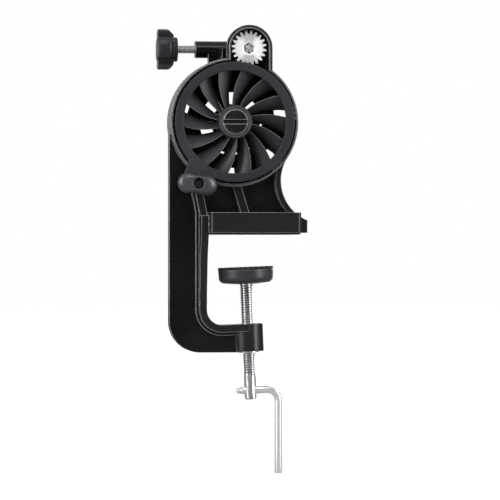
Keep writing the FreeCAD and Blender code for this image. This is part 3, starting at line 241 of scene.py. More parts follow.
def threaded(name: str, profile: list[PAIR], thread: PAIR,
             pitch: float, depth: float, axis: Axis) -> PIECE:
    """A turned screw whose thread is a helix of rising and falling radius.

    radius = profile radius - depth * clamp(gain |2 frac(along / pitch - a / turn) - 1| - rest),
    faded to the plain radius over one pitch at both ends of the thread.

    Args:
        name: Name of the piece.
        profile: Corners (radius, along) from one end to the other.
        thread: Lowest and highest place of the thread along the axis.
        pitch: Distance between crests.
        depth: Depth of the thread.
        axis: Where the screw lies.

    Returns:
        The closed screw.
    """
    low, high = thread
    corners = np.array(profile, float)
    fine = np.arange(low, high, pitch / RINGS_PER_PITCH)
    before = corners[corners[:, 1] <= low]
    after = corners[corners[:, 1] >= high]
    body = np.stack([np.full_like(fine, before[-1, 0]), fine], axis=1)
    line = np.vstack([before, body, after])
    angle = around(SCREW_SIDES)
    radius, along = line[:, 0][:, None], line[:, 1][:, None]
    wave = np.abs(2 * np.mod(along / pitch - angle / TURN, 1) - 1)
    groove = np.clip(GROOVE_GAIN * wave - GROOVE_REST, 0, 1)
    fade = np.clip(np.minimum(along - low, high - along) / pitch, 0, 1)
    radius = radius - depth * groove * fade
    return surface(name, axis.points(radius * np.cos(angle), radius * np.sin(angle), along))


def cut(piece: PIECE, cutter: PIECE) -> None:
    """Takes the cutter's volume out of the piece, then removes the cutter."""
    step = piece.modifiers.new("cut", "BOOLEAN")
    step.operation, step.solver, step.object = "DIFFERENCE", "EXACT", cutter
    evaluated = piece.evaluated_get(bpy.context.evaluated_depsgraph_get())
    mesh = bpy.data.meshes.new_from_object(evaluated)
    piece.modifiers.clear()
    piece.data = mesh
    mesh.shade_smooth()
    mesh.set_sharp_from_angle(angle=BUILT_SHARP)
    bpy.data.objects.remove(cutter)


# ---- shader groups

class Graph:
    """Adds nodes to one node tree; an input given as a socket is linked, else it is set."""

    def __init__(self, tree: bpy.types.NodeTree) -> None:
        """Keeps the tree that nodes are added to."""
        self.tree = tree

    def node(self, kind: str, inputs: dict | None = None, **settings: object) -> bpy.types.Node:
        """Adds one node.

        Args:
            kind: Node type without its ShaderNode prefix.
            inputs: Input name or index and the socket or value for it.
            **settings: Attributes of the node, set before its inputs.

        Returns:
            The node.
        """
        node = self.tree.nodes.new(f"ShaderNode{kind}")
        for key, setting in settings.items():
            setattr(node, key, setting)
        return self.feed(node, inputs or {})

    def feed(self, node: bpy.types.Node, inputs: dict) -> bpy.types.Node:
        """Links or sets a node's inputs, and returns the node."""
        for key, source in inputs.items():
            if isinstance(source, SOCKET):
                self.tree.links.new(source, node.inputs[key])
            else:
                node.inputs[key].default_value = source
        return node

    def math(self, operation: str, *values: object) -> SOCKET:
        """A Math node's result."""
        return self.node("Math", dict(enumerate(values)), operation=operation).outputs[0]

    def ramp(self, value: SOCKET, low: float, high: float, to: tuple = (0.0, 1.0)) -> SOCKET:
        """A value carried smoothly and clamped from low..high to the range in to."""
        return self.node("MapRange", {0: value, 1: low, 2: high, 3: to[0], 4: to[1]},
                         interpolation_type="SMOOTHSTEP").outputs[0]

    def blend(self, amount: SOCKET, first: object, second: object) -> SOCKET:
        """A colour between two, by amount."""
        return self.node("Mix", {0: amount, 6: first, 7: second}, data_type="RGBA").outputs[2]

    def noise(self, vector: SOCKET, scale: object, detail: float = 3.0) -> SOCKET:
        """Noise between 0 and 1."""
        inputs = {"Vector": vector, "Scale": scale, "Detail": detail}
        return self.node("TexNoise", inputs).outputs[0]


def group(name: str, sockets: dict[str, str], outputs: dict[str, str]) -> tuple:
    """An empty shader node group with named inputs and outputs.

    Args:
        name: Name of the group.
        sockets: Input names and socket types.
        outputs: Output names and socket types.

    Returns:
        The group, its graph, its input node and its output node.
    """
    tree = bpy.data.node_groups.new(name, "ShaderNodeTree")
    for direction, names in (("INPUT", sockets), ("OUTPUT", outputs)):
        for socket_name, kind in names.items():
            tree.interface.new_socket(socket_name, in_out=direction,
                                      socket_type=f"NodeSocket{kind}")
    graph = Graph(tree)
    return tree, graph, tree.nodes.new("NodeGroupInput"), tree.nodes.new("NodeGroupOutput")


def softened_edges() -> bpy.types.NodeTree:
    """Group: normals rounded over every edge, and a mask that is 1 on the edge itself.

    The mask is how far the rounded normal leans from the face's own normal; the finishes paint a
    highlight along the edges with it.
    """
    tree, graph, enter, leave = group("softened_edges", {"Width": "Float"},
                                      {"Edge": "Float", "Normal": "Vector"})
    bevel = graph.node("Bevel", {"Radius": enter.outputs["Width"]}, samples=8)
    face = graph.node("NewGeometry")
    lean = graph.node("VectorMath", {0: bevel.outputs[0], 1: face.outputs["Normal"]},
                      operation="DOT_PRODUCT").outputs["Value"]
    tree.links.new(graph.ramp(lean, 0.965, 0.82), leave.inputs["Edge"])
    tree.links.new(bevel.outputs[0], leave.inputs["Normal"])
    return tree


def moulded_grain() -> bpy.types.NodeTree:
    """Group: fine spark-eroded grain, and a slow change of tone as on a moulded face."""
    tree, graph, enter, leave = group(
        "moulded_grain", {"Vector": "Vector", "Scale": "Float"},
        {"Height": "Float", "Tone": "Float"})
    vector, scale = enter.outputs["Vector"], enter.outputs["Scale"]
    pits = graph.node("TexVoronoi", {"Vector": vector, "Scale": scale}).outputs["Distance"]
    cloth = graph.noise(vector, graph.math("MULTIPLY", scale, 0.45))
    height = graph.math("ADD", graph.math("MULTIPLY", pits, 0.5), cloth)
    tree.links.new(height, leave.inputs["Height"])
    tree.links.new(graph.ramp(graph.noise(vector, 26.0), 0.3, 0.7), leave.inputs["Tone"])
    return tree


def drawn_lines() -> bpy.types.NodeTree:
    """Group: fine lines left by a tool, as noise on coordinates stretched along one way."""
    tree, graph, enter, leave = group(
        "drawn_lines", {"Vector": "Vector", "Stretch": "Vector"},
        {"Lines": "Float", "Smudge": "Float"})
    stretched = graph.node("VectorMath", {0: enter.outputs["Vector"], 1: enter.outputs["Stretch"]},
                           operation="MULTIPLY").outputs[0]
    tree.links.new(graph.ramp(graph.noise(stretched, 1.0, 5.0), 0.3, 0.7), leave.inputs["Lines"])
    tree.links.new(graph.ramp(graph.noise(enter.outputs["Vector"], 140.0), 0.35, 0.7),
                   leave.inputs["Smudge"])
    return tree


SOFTENED_EDGES = softened_edges()
MOULDED_GRAIN = moulded_grain()
DRAWN_LINES = drawn_lines()


def placed(graph: Graph, tree: bpy.types.NodeTree, inputs: dict) -> bpy.types.Node:
    """A group node in a material, with its inputs linked or set."""
    node = graph.tree.nodes.new("ShaderNodeGroup")
    node.node_tree = tree
    return graph.feed(node, inputs)


def emptied(owner: bpy.types.Material | bpy.types.World) -> Graph:
    """Turns a material's or world's nodes on, clears them and returns its graph."""
    owner.use_nodes = True
    owner.node_tree.nodes.clear()
    return Graph(owner.node_tree)


# ---- finishes

def tone(red: float, green: float, blue: float) -> tuple[float, float, float, float]:
    """A colour as it shows on screen, 0 to 255, as the shader's linear colour."""
    shares = np.array([red, green, blue]) / 255
    linear = np.where(shares <= 0.04045, shares / 12.92, ((shares + 0.055) / 1.055) ** 2.4)
    return (*linear.tolist(), 1.0)


def bumped(graph: Graph, height: SOCKET, strength: float, depth: float, normal: SOCKET) -> SOCKET:
    """Normal with a relief of the given depth in millimetres laid on it."""
    return graph.node("Bump", {"Height": height, "Strength": strength, "Distance": depth * MM,
                               "Normal": normal}).outputs[0]


@dataclass(frozen=True)
class Moulded:
    """Moulded plastic or rubber: grain, slow change of tone, and a painted highlight along its
    edges.
    """

    slot: str
    colour: tuple
    paler: tuple
    # edge: colour of the painted highlight laid along every edge by the edge mask.
    edge: tuple
    roughness: float = 0.3
    specular: float = 0.26
    grain: float = 2600.0
    depth: float = 0.02
    edge_width: float = 0.8
    sheen: float = 0.0

    def tint(self, graph: Graph, place: SOCKET, slow: SOCKET) -> SOCKET:
        """Colour of the faces, between its two tones by the slow noise."""
        return graph.blend(slow, self.colour, self.paler)

    def shade(self, graph: Graph, place: SOCKET) -> bpy.types.Node:
        """Builds the finish on object coordinates and returns its Principled node."""
        edges = placed(graph, SOFTENED_EDGES, {"Width": self.edge_width * MM})
        skin = placed(graph, MOULDED_GRAIN, {"Vector": place, "Scale": self.grain})
        colour = self.tint(graph, place, skin.outputs["Tone"])
        # Painted highlight: the edge mask carries the colour to the paler edge colour.
        painted_edge_highlight = graph.math("MULTIPLY", edges.outputs["Edge"], 0.85)
        roughness = graph.math("ADD", self.roughness,
                               graph.math("MULTIPLY", skin.outputs["Tone"], 0.07))
        bump = bumped(graph, skin.outputs["Height"], 0.25, self.depth, edges.outputs["Normal"])
        return graph.node("BsdfPrincipled", {
            "Base Color": graph.blend(painted_edge_highlight, colour, self.edge), "Roughness": roughness,
            "Specular IOR Level": self.specular, "Normal": bump,
            "Sheen Weight": self.sheen, "Sheen Roughness": 0.4})


@dataclass(frozen=True)
class DepthShadedNylon(Moulded):
    """Moulded plastic with painted light and shade by depth: faces towards the front are painted
    paler, as if lit, and sunk ones darker, as if in shade.
    """

    painted_light_tone: tuple = (0.02, 0.02, 0.022, 1.0)
    relief: PAIR = (-5.0, -8.6)

    def tint(self, graph: Graph, place: SOCKET, slow: SOCKET) -> SOCKET:
        """Colour of the faces, carried to the painted light tone between the relief's two depths,
        towards the front.
        """
        depth = graph.node("SeparateXYZ", {0: place}).outputs["Y"]
        # Painted light and shade: sunk faces keep the dark tone, faces towards the front take the
        # paler one.
        painted_light_share = graph.ramp(depth, self.relief[0] * MM, self.relief[1] * MM)
        return graph.blend(painted_light_share, super().tint(graph, place, slow), self.painted_light_tone)


@dataclass(frozen=True)
class Metal:
    """Turned, drawn or plated metal: fine lines along one way, and a painted highlight on its
    edges.
    """

    slot: str
    colour: tuple
    darker: tuple
    # edge: colour of the painted highlight laid along every edge by the edge mask.
    edge: tuple
    roughness: float = 0.3
    stretch: tuple = (600.0, 600.0, 600.0)
    depth: float = 0.01
    marks: float = 0.12
    edge_width: float = 0.3
    metallic: float = 1.0
    painted_edge_glint: float = 0.2

    def tint(self, graph: Graph, place: SOCKET, lines: SOCKET) -> SOCKET:
        """Colour of the faces, between its two tones by the tool's lines."""
        return graph.blend(lines, self.darker, self.colour)

    def shade(self, graph: Graph, place: SOCKET) -> bpy.types.Node:
        """Builds the finish on object coordinates and returns its Principled node."""
        edges = placed(graph, SOFTENED_EDGES, {"Width": self.edge_width * MM})
        tool = placed(graph, DRAWN_LINES, {"Vector": place, "Stretch": self.stretch})
        colour = self.tint(graph, place, tool.outputs["Lines"])
        # Painted highlight: the edges are made less metallic and take the pale edge colour, so
        # they show bright as if lit.
        metallic = graph.math("SUBTRACT", self.metallic,
                              graph.math("MULTIPLY", edges.outputs["Edge"], self.painted_edge_glint))
        roughness = graph.math("ADD", self.roughness,
                               graph.math("MULTIPLY", tool.outputs["Smudge"], 0.1))
        bump = bumped(graph, tool.outputs["Lines"], self.marks, self.depth,
                      edges.outputs["Normal"])
        return graph.node("BsdfPrincipled", {
            "Base Color": graph.blend(edges.outputs["Edge"], colour, self.edge),
            "Roughness": roughness, "Metallic": metallic, "Normal": bump})


@dataclass(frozen=True)
class RingedSteel(Metal):
    """Steel with another tone from one distance from its axis to another: painted shade in a
    thread's grooves, or a painted highlight on a rim.
    """

    origin: tuple = (0.0, 0.0, 0.0)
    along: tuple = (0.0, 0.0, 1.0)
    start: float = 3.75
    full: float = 3.3
    painted_ring_tone: tuple = (0.02, 0.02, 0.022, 1.0)

    def tint(self, graph: Graph, place: SOCKET, lines: SOCKET) -> SOCKET:
        """Colour carried to the painted ring tone by the distance |(place - origin) x along|."""
        away = graph.node("VectorMath", {0: place, 1: [c * MM for c in self.origin]},
                          operation="SUBTRACT").outputs[0]
        across = graph.node("VectorMath", {0: away, 1: self.along}, operation="CROSS_PRODUCT")
        radius = graph.node("VectorMath", {0: across.outputs[0]}, operation="LENGTH")
        share = graph.ramp(radius.outputs["Value"], self.start * MM, self.full * MM, (0.0, 0.95))
        return graph.blend(share, super().tint(graph, place, lines), self.painted_ring_tone)


@dataclass(frozen=True)
class GroundSteel(Metal):
    """Steel ground across its face, with a painted reflection: bright, with two darker speckled
    sectors, up and down.
    """

    centre: tuple = (0.00217, 0.0, 0.11604)
    painted_sheen_sector: PAIR = (0.62, 0.98)
    painted_sheen_start: PAIR = (0.0034, 0.0052)
    grit_size: tuple = (3200, 3200, 3200)

    def shade(self, graph: Graph, place: SOCKET) -> bpy.types.Node:
        """Builds the finish about the pinion's axis and returns its Principled node.

        The painted reflection's darker sectors are where |z| / distance from the axis is large,
        broken up by fine noise.
        """
        edges = placed(graph, SOFTENED_EDGES, {"Width": self.edge_width * MM})
        local = graph.node("Mapping", {"Vector": place, "Location": [-c for c in self.centre]})
        parts = graph.node("SeparateXYZ", {0: local.outputs[0]})
        flat = graph.node("CombineXYZ", {0: parts.outputs["X"], 2: parts.outputs["Z"]})
        away = graph.node("VectorMath", {0: flat.outputs[0]}, operation="LENGTH").outputs["Value"]
        upright = graph.math("DIVIDE", graph.math("ABSOLUTE", parts.outputs["Z"]), away)
        # Painted reflection: darker speckled sectors above and below the axis, bright to the
        # sides.
        painted_sheen_sector = graph.math("MULTIPLY", graph.ramp(upright, *self.painted_sheen_sector),
                            graph.ramp(away, *self.painted_sheen_start))
        tool = placed(graph, DRAWN_LINES, {"Vector": place, "Stretch": self.grit_size})
        grit = graph.math("ADD", graph.math("MULTIPLY", tool.outputs["Lines"], 0.75), 0.25)
        painted_sheen_speckle = graph.math("MULTIPLY", painted_sheen_sector, grit)
        colour = graph.blend(painted_sheen_speckle, self.colour, self.darker)
        bump = bumped(graph, tool.outputs["Lines"], 0.3, self.depth, edges.outputs["Normal"])
        # Painted highlight: the colour goes to the edge colour along the edge mask.
        return graph.node("BsdfPrincipled", {
            "Base Color": graph.blend(edges.outputs["Edge"], colour, self.edge),
            "Roughness": self.roughness, "Metallic": self.metallic, "Normal": bump})


class Finish(Enum):
    """The finishes of the winder's pieces."""

    # Black nylon with painted light on the faces towards the front and a painted highlight on its
    # edges.
    BLACK_NYLON = DepthShadedNylon("black_nylon", tone(10, 10, 12), tone(18, 18, 21),
                              tone(170, 171, 176), roughness=0.24, specular=0.36,
                              painted_light_tone=tone(31, 31, 34))
    KNOB_NYLON = Moulded("black_nylon", tone(38, 38, 41), tone(46, 46, 50), tone(104, 105, 110))
    # Charcoal nylon painted darker, as painted shade, so the gear's teeth sink into the dark gap.
    SHADE_DARK_GEAR_NYLON = Moulded("charcoal_nylon", tone(13, 13, 14), tone(17, 17, 18), tone(30, 30, 32),
                         roughness=0.6, specular=0.05)
    CHARCOAL_NYLON = Moulded("charcoal_nylon", tone(44, 44, 48), tone(52, 52, 56),
                             tone(140, 141, 146), roughness=0.38)
    # Charcoal nylon painted paler, as painted light on the domed ears of the handle boss.
    PAINTED_LIGHT_BOSS_NYLON = Moulded("charcoal_nylon", tone(58, 58, 63), tone(70, 70, 76),
                         tone(96, 96, 101), roughness=0.28, specular=0.6)
    PAD_NYLON = Moulded("pad_nylon", tone(46, 47, 52), tone(54, 55, 61), tone(110, 112, 118),
                        roughness=0.3, specular=0.5)
    RUBBER = Moulded("rubber", tone(24, 24, 25), tone(34, 34, 35), tone(60, 60, 62),
                     roughness=0.75, specular=0.25, grain=1400.0, depth=0.04, sheen=0.15)
    PINION_STEEL = GroundSteel("machined_steel", tone(255, 255, 255), tone(132, 134, 138),
                               tone(255, 255, 255), roughness=0.38, metallic=0.1,
                               edge_width=0.25)
    SHAFT_STEEL = Metal("machined_steel", tone(225, 226, 230), tone(30, 30, 33),
                        tone(240, 240, 243), roughness=0.35, stretch=(900.0, 200.0, 700.0),
                        metallic=0.5)
    # Painted shade: the screw darkens towards the root of its thread.
    SCREW_STEEL = RingedSteel("plated_steel", tone(240, 241, 243), tone(214, 215, 219),
                              tone(250, 250, 251), roughness=0.13, metallic=0.93,
                              stretch=(5000.0, 5000.0, 400.0), edge_width=0.12,
                              along=(-0.0401, 0.0, 0.9992))
    # Painted shade: the knob screw darkens towards the root of its thread.
    KNOB_STEEL = RingedSteel("plated_steel", tone(225, 226, 229), tone(200, 201, 205),
                             tone(240, 240, 242), roughness=0.3, metallic=0.5,
                             stretch=(400.0, 5000.0, 5000.0), edge_width=0.12,
                             origin=(-41.029, 10.5, 116.038), along=(1.0, 0.0, 0.0),
                             start=2.4, full=2.15)
    ROD_STEEL = Metal("zinc_steel", tone(250, 250, 252), tone(232, 233, 236),
                      tone(255, 255, 255), roughness=0.16, stretch=(6000.0, 6000.0, 200.0),
                      metallic=0.6)
    # Zinc steel painted nearly black, as painted shade in the handle boss's hole.
    SHADE_DARK_NUT_STEEL = Metal("zinc_steel", tone(26, 26, 27), tone(16, 16, 17), tone(52, 52, 54),
                      roughness=0.5)
    # Painted highlight: a pale ring on the axle head's rim, from 7.2 to 7.4 mm, and bright edges.
    AXLE_STEEL = RingedSteel("dark_steel", tone(46, 47, 44), tone(18, 19, 17),
                             tone(235, 235, 232), roughness=0.3, metallic=0.5,
                             stretch=(2400.0, 300.0, 30.0), edge_width=0.5, painted_edge_glint=0.4,
                             origin=(-7.3, 0.0, 69.9), along=(0.0, 1.0, 0.0),
                             start=7.2, full=7.4, painted_ring_tone=tone(150, 150, 147))
    BRONZE = Metal("bronze", tone(190, 150, 105), tone(160, 122, 80), tone(225, 190, 150),
                   roughness=0.4)
    BRASS = Metal("brass", tone(176, 160, 122), tone(150, 134, 98), tone(214, 200, 164))

    def material(self) -> bpy.types.Material:
        """The finish as a material, made at its first use."""
        name = f"{self.name.lower()}_finish"
        made = bpy.data.materials.get(name)
        if made:
            return made
        made = bpy.data.materials.new(name)
        graph = emptied(made)
        place = graph.node("TexCoord").outputs["Object"]
        shader = self.value.shade(graph, place)
        graph.node("OutputMaterial", {"Surface": shader.outputs[0]})
        return made


# ---- sub-assemblies

@dataclass
class SubAssembly:
    """What every sub-assembly does: dresses CAD nodes and adds its own pieces."""

    lean: float = 2.3
    wheel_x: float = -7.3
    wheel_z: float = 69.9
    pinion_z: float = 116.038

    def clamp_axis(self) -> Axis:
        """Axis of the clamp screw, up and leaning towards the spine."""
        lean = math.radians(self.lean)
        return Axis((0, 0, 0), (-math.sin(lean), 0, math.cos(lean)),
                    (math.cos(lean), 0, math.sin(lean)))

    def wheel_axis(self) -> Axis:
        """Axis of the wheel, towards the back; across is +X and the third way is up."""
        return Axis((self.wheel_x, 0, self.wheel_z), (0, 1, 0), (1, 0, 0))

    def dress(self, node: str, finish: Finish) -> None:
        """Gives a CAD node that is shown as it is its material."""
        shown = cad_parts[node]
        shown.data.materials.clear()
        shown.data.materials.append(finish.material())
        log.info("%s dressed in %s", node, finish.name.lower())

    def add(self, piece: PIECE, finish: Finish, body: str, *replaced: str) -> None:
        """Dresses a new piece, sets it on its body and hides the nodes that it stands for.

        Args:
            piece: The piece, in place.
            finish: Its finish.
            body: The body that it rides on.
            *replaced: CAD nodes that it stands for.
        """
        piece.data.materials.clear()
        piece.data.materials.append(finish.material())
        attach(piece, body)
        if replaced:
            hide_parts(*replaced)
        log.info("%s on %s in %s: %d faces", piece.name, body, finish.name.lower(),
                 len(piece.data.polygons))

    def copy(self, node: str, finish: Finish, body: str) -> None:
        """Shows a smooth copy in place of a CAD node."""
        self.add(smooth_copy(node, f"{node}_smooth"), finish, body, node)


@dataclass
class FrameAssembly(SubAssembly):
    """The moulded C-frame with its jaw sheet, bushes, axle and their nuts."""

    def build(self) -> None:
        """Dresses the frame and everything fixed in it."""
        self.copy("frame_body", Finish.BLACK_NYLON, "frame")
        self.copy("jaw_grip", Finish.RUBBER, "frame")
        self.copy("clamp_nut", Finish.ROD_STEEL, "frame")
        self.copy("wheel_axle", Finish.AXLE_STEEL, "frame")
        self.dress("axle_washer", Finish.ROD_STEEL)
        self.copy("axle_nut", Finish.ROD_STEEL, "frame")
        self.copy("shaft_bush", Finish.BRONZE, "frame")
        self.copy("knob_insert", Finish.BRASS, "frame")


@dataclass
class CrankWheel(SubAssembly):
    """The wheel: front ring with its barrel, hub, swirled blades and handle boss."""

    ring_front: float = -14.3
    ring_thick: float = 3.5
    ring_outer: float = 37.4
    ring_inner: float = 31.9
    barrel_outer: float = 34.8
    barrel_inner: float = 33.6
    barrel_back: float = -3.1
    hub_radius: float = 10.4
    hub_front: float = -16.8
    hub_back: float = 3.1
    head_room: float = 8.15
    head_seat: float = -14.4
    hub_bore: float = 6.07
    blades: int = 14
    blade_phase: float = 8.0
    blade_swirl: float = 16.0
    gap_rim: float = 8.4
    gap_hub: float = 5.5
    blade_inner: float = 9.8
    blade_outer: float = 34.2
    blade_front: float = -12.5
    blade_rise: float = 6.0
    blade_thick: float = 1.8
    blade_crown: float = 0.7
    throw: float = 44.6
    throw_bearing: float = 239.0
    ear_offset: float = 6.0
    ear_tilt: float = -8.0
    ear_left: float = 0.5
    ear_drop: float = 0.6
    ear_radius: float = 6.4
    ear_waist: float = 0.5
    dome: float = 4.2
    ear_front: float = -18.3
    ear_back: float = -12.4
    hole: float = 3.3
    web_reach: float = 48.0
    web_shoulder: float = 45.0
    web_round: float = 0.8
    web_dish: float = 0.5
    nut_flats: float = 10.04
    nut_depth: float = 3.42

    def ring(self) -> PIECE:
        """Front ring and barrel as one turned profile with rounded edges."""
        front, back = self.ring_front, self.ring_front + self.ring_thick
        step = self.barrel_inner - self.ring_inner
        profile = rounded([
            (self.ring_inner, front, 0.6), (self.ring_outer, front, 0.6),
            (self.ring_outer, back, 0.4), (self.barrel_outer, back, 0.1),
            (self.barrel_outer, self.barrel_back, 0.3), (self.barrel_inner, self.barrel_back, 0.3),
            (self.barrel_inner, back, 0.2), (self.ring_inner, back - step, 0.2),
        ], closed=True)
        return self.closed_lathe("wheel_ring", profile)

    def closed_lathe(self, name: str, profile: np.ndarray) -> PIECE:
        """A closed profile carried round the wheel's axis."""
        angle = around(192)
        radius, along = profile[:, 0][:, None], profile[:, 1][:, None]
        points = self.wheel_axis().points(radius * np.cos(angle), -radius * np.sin(angle), along)
        return surface(name, points, closed_rings=True)

    def hub(self) -> PIECE:
        """Hub tube with the counterbore of the axle's head and a fine groove round it."""
        groove = self.head_room + 0.8
        profile = rounded([
            (self.head_room, self.hub_front, 0.2), (groove, self.hub_front, 0.1),
            (groove, self.hub_front + 0.5), (groove + 0.4, self.hub_front + 0.5),
            (groove + 0.4, self.hub_front, 0.1), (self.hub_radius, self.hub_front, 0.5),
            (self.hub_radius, self.hub_back, 0.3), (self.hub_bore, self.hub_back, 0.3),
            (self.hub_bore, self.head_seat, 0.2), (self.head_room, self.head_seat, 0.1),
        ], closed=True)
        return self.closed_lathe("wheel_hub", profile)

    def blade_set(self) -> PIECE:
        """All fan blades as one mesh.

        At radius r a blade's middle lies at phase + pitch / 2 + swirl * (outer - r) / (outer -
        inner), and its half width is r sin((pitch - gap) / 2). The section is a strip: w runs
        from 1 to -1 over its front and back over its rear, at depth front + thick / 2 + rise
        (1 - w) / 2 + crown (w^2 - 1), less or plus half the thickness.
        """
        pitch = 360 / self.blades
        radius = np.linspace(self.blade_inner, self.blade_outer, 28)[:, None]
        share = (self.blade_outer - radius) / (self.blade_outer - self.blade_inner)
        gap = self.gap_rim + (self.gap_hub - self.gap_rim) * share
        half = radius * np.sin(np.radians(pitch - gap) / 2)
        strip = np.linspace(1, -1, 13)
        width = np.r_[strip, -strip][None, :]
        side = np.repeat([-0.5, 0.5], strip.size)[None, :]
        depth = (self.blade_front + self.blade_thick * (0.5 + side)
                 + self.blade_rise * (1 - width) / 2 + self.blade_crown * (width ** 2 - 1))
        depth = np.broadcast_to(depth, (radius.size, width.size))
        across = half * width
        vertices, faces = [], []
        count = radius.size * width.size
        for blade in range(self.blades):
            angle = np.radians(self.blade_phase + pitch * (blade + 0.5) + self.blade_swirl * share)
            x = radius * np.cos(angle) - across * np.sin(angle)
            z = radius * np.sin(angle) + across * np.cos(angle)
            points = self.wheel_axis().points(x, -z, depth)
            ends = points[[0, -1]].mean(axis=1, keepdims=True).repeat(width.size, axis=1)
            whole = np.concatenate([ends[:1], points, ends[1:]])
            ids = np.arange(whole.shape[0] * width.size).reshape(-1, width.size)
            quads = np.stack([ids[:-1], np.roll(ids[:-1], -1, 1), np.roll(ids[1:], -1, 1),
                              ids[1:]], -1).reshape(-1, 4)
            faces.append(quads + blade * (count + 2 * width.size))
            vertices.append(whole.reshape(-1, 3))
        return mesh_piece("wheel_blades", np.concatenate(vertices) * MM, np.concatenate(faces))

    def boss_plan(self) -> tuple[np.ndarray, np.ndarray]:
        """Outline of the handle boss, and the middle of its hole, in the wheel's front view.

        Seen from its middle at angle a, an ear's disc ends at o |cos a| + sqrt(r^2 - o^2
        sin^2 a), and the waist at (r - hollow) / |sin a|; the outline is the larger, softened
        by k ln(exp(disc / k) + exp(waist / k)).
        """
        bearing = math.radians(self.throw_bearing)
        hole = self.throw * np.array([math.cos(bearing), math.sin(bearing)])
        angle = np.linspace(0, TURN, 144, endpoint=False)
        side, up = np.cos(angle), np.abs(np.sin(angle))
        disc = self.ear_offset * np.abs(side) + np.sqrt(
            self.ear_radius ** 2 - (self.ear_offset * up) ** 2)
        waist = (self.ear_radius - self.ear_waist) / np.maximum(up, 0.05)
        waist = np.where(np.abs(waist * side) < self.ear_offset, waist, 0)
        k = 0.15
        reach = k * np.logaddexp(disc / k, waist / k)
        tilt = angle + math.radians(self.ear_tilt)
        line = reach[:, None] * np.stack([np.cos(tilt), np.sin(tilt)], axis=1)
        return resampled(line + hole - (self.ear_left, self.ear_drop), 120), hole

    def front_view(self, plan: np.ndarray, depth: float) -> np.ndarray:
        """Points of the wheel's front view at one depth."""
        return self.wheel_axis().points(plan[:, 0], -plan[:, 1], np.full(len(plan), depth))

    def handle_boss(self) -> PIECE:
        """Boss with two rounded ears, a hole for the handle and a pocket for its nut.

        Rings run from the hole's lip over the domed face to the side, with share = sin t of
        the way and depth = front + dome (1 - cos t), then over the back to the pocket's
        hexagon, whose radius is flats / 2 / cos(angle past the nearest flat's middle).
        """
        plan, hole = self.boss_plan()
        away = plan - hole
        angle = np.arctan2(away[:, 1], away[:, 0])
        heading = np.stack([np.cos(angle), np.sin(angle)], axis=1)
        sixth = math.radians(60)
        hexagon = self.nut_flats / 2 / np.cos(np.mod(angle + sixth / 2, sixth) - sixth / 2)
        pocket = hole + heading * hexagon[:, None]
        pocket_floor = self.ear_back - self.nut_depth
        rings = [(hole + heading * self.hole, pocket_floor),
                 (hole + heading * self.hole, self.ear_front + 0.5),
                 (hole + heading * (self.hole + 0.15), self.ear_front + 0.15),
                 (hole + heading * (self.hole + 0.5), self.ear_front)]
        lip = rings[3][0]
        rings += [(lip + (plan - lip) * math.sin(t),
                   self.ear_front + self.dome * (1 - math.cos(t)))
                  for t in np.linspace(0.12, math.pi / 2, 15)]
        rings += [(plan, self.ear_back - 0.4), (inset(plan, 0.12), self.ear_back - 0.12),
                  (inset(plan, 0.4), self.ear_back), (pocket, self.ear_back),
                  (pocket, pocket_floor)]
        points = np.stack([self.front_view(line, depth) for line, depth in rings])
        return surface("handle_boss", points, closed_rings=True)

    def boss_web(self) -> PIECE:
        """Web between ring and boss: a plate with rounded edges and a shallow dish in front.

        Rings shrink towards the middle by a share q; the front's depth is the plate's front
        plus dish (1 - q^2)^2.
        """
        def polar(radius: float, bearing: float, *rounding: float) -> tuple:
            """A corner by radius and bearing from the handle's hole."""
            angle = math.radians(self.throw_bearing + bearing)
            return (radius * math.cos(angle), radius * math.sin(angle), *rounding)

        outer, inner = self.ring_outer, self.ring_inner
        line = rounded([
            polar(outer - 0.2, -20), polar(outer + 2.2, -16.6, 2.0),
            polar(self.web_shoulder, -14.4, 1.5), polar(self.web_reach, -6),
            polar(self.web_reach, 2), polar(self.web_shoulder - 1.0, 5.5, 1.0),
            polar(outer + 0.6, 9.0, 1.5),
            polar(outer - 0.4, 13), polar(inner + 2.2, 11), polar(inner + 2.0, 0),
            polar(inner + 2.2, -17)], closed=True, steps=8)
        plan = resampled(line, 120)
        middle = plan.mean(axis=0)
        front, back = self.ring_front - 0.6, self.ear_back
        edge = self.web_round
        rings = [(middle + (inset(plan, edge) - middle) * q,
                  front + self.web_dish * (1 - q * q) ** 2)
                 for q in (0.0, 0.2, 0.4, 0.6, 0.8, 0.92, 1.0)]
        rings += [(inset(plan, edge * (1 - math.sin(t))), front + edge * (1 - math.cos(t)))
                  for t in np.linspace(0.2, math.pi / 2, 6)]
        rings += [(plan, back), (middle + (plan - middle) * 0.001, back)]
        points = np.stack([self.front_view(shape, depth) for shape, depth in rings])
        return surface("boss_web", points)

    def build(self) -> None:
        """Builds the wheel's own pieces and dresses its gear, bush and nut."""
        self.add(self.ring(), Finish.CHARCOAL_NYLON, "wheel", "crank_wheel")
        self.add(self.hub(), Finish.CHARCOAL_NYLON, "wheel")
        self.add(self.blade_set(), Finish.CHARCOAL_NYLON, "wheel")
        self.add(self.handle_boss(), Finish.PAINTED_LIGHT_BOSS_NYLON, "wheel")
        self.add(self.boss_web(), Finish.CHARCOAL_NYLON, "wheel")
        self.copy("wheel_gear", Finish.SHADE_DARK_GEAR_NYLON, "wheel")
        self.dress("wheel_bush", Finish.BRONZE)
        self.copy("handle_nut", Finish.SHADE_DARK_NUT_STEEL, "wheel")


@dataclass
class OutputDrive(SubAssembly):
    """The steel pinion on its shaft."""

    def build(self) -> None:
        """Dresses the pinion, its shaft and the clip."""
        self.copy("pinion", Finish.PINION_STEEL, "output")
        self.copy("drive_shaft", Finish.SHAFT_STEEL, "output")
        self.dress("shaft_clip", Finish.ROD_STEEL)


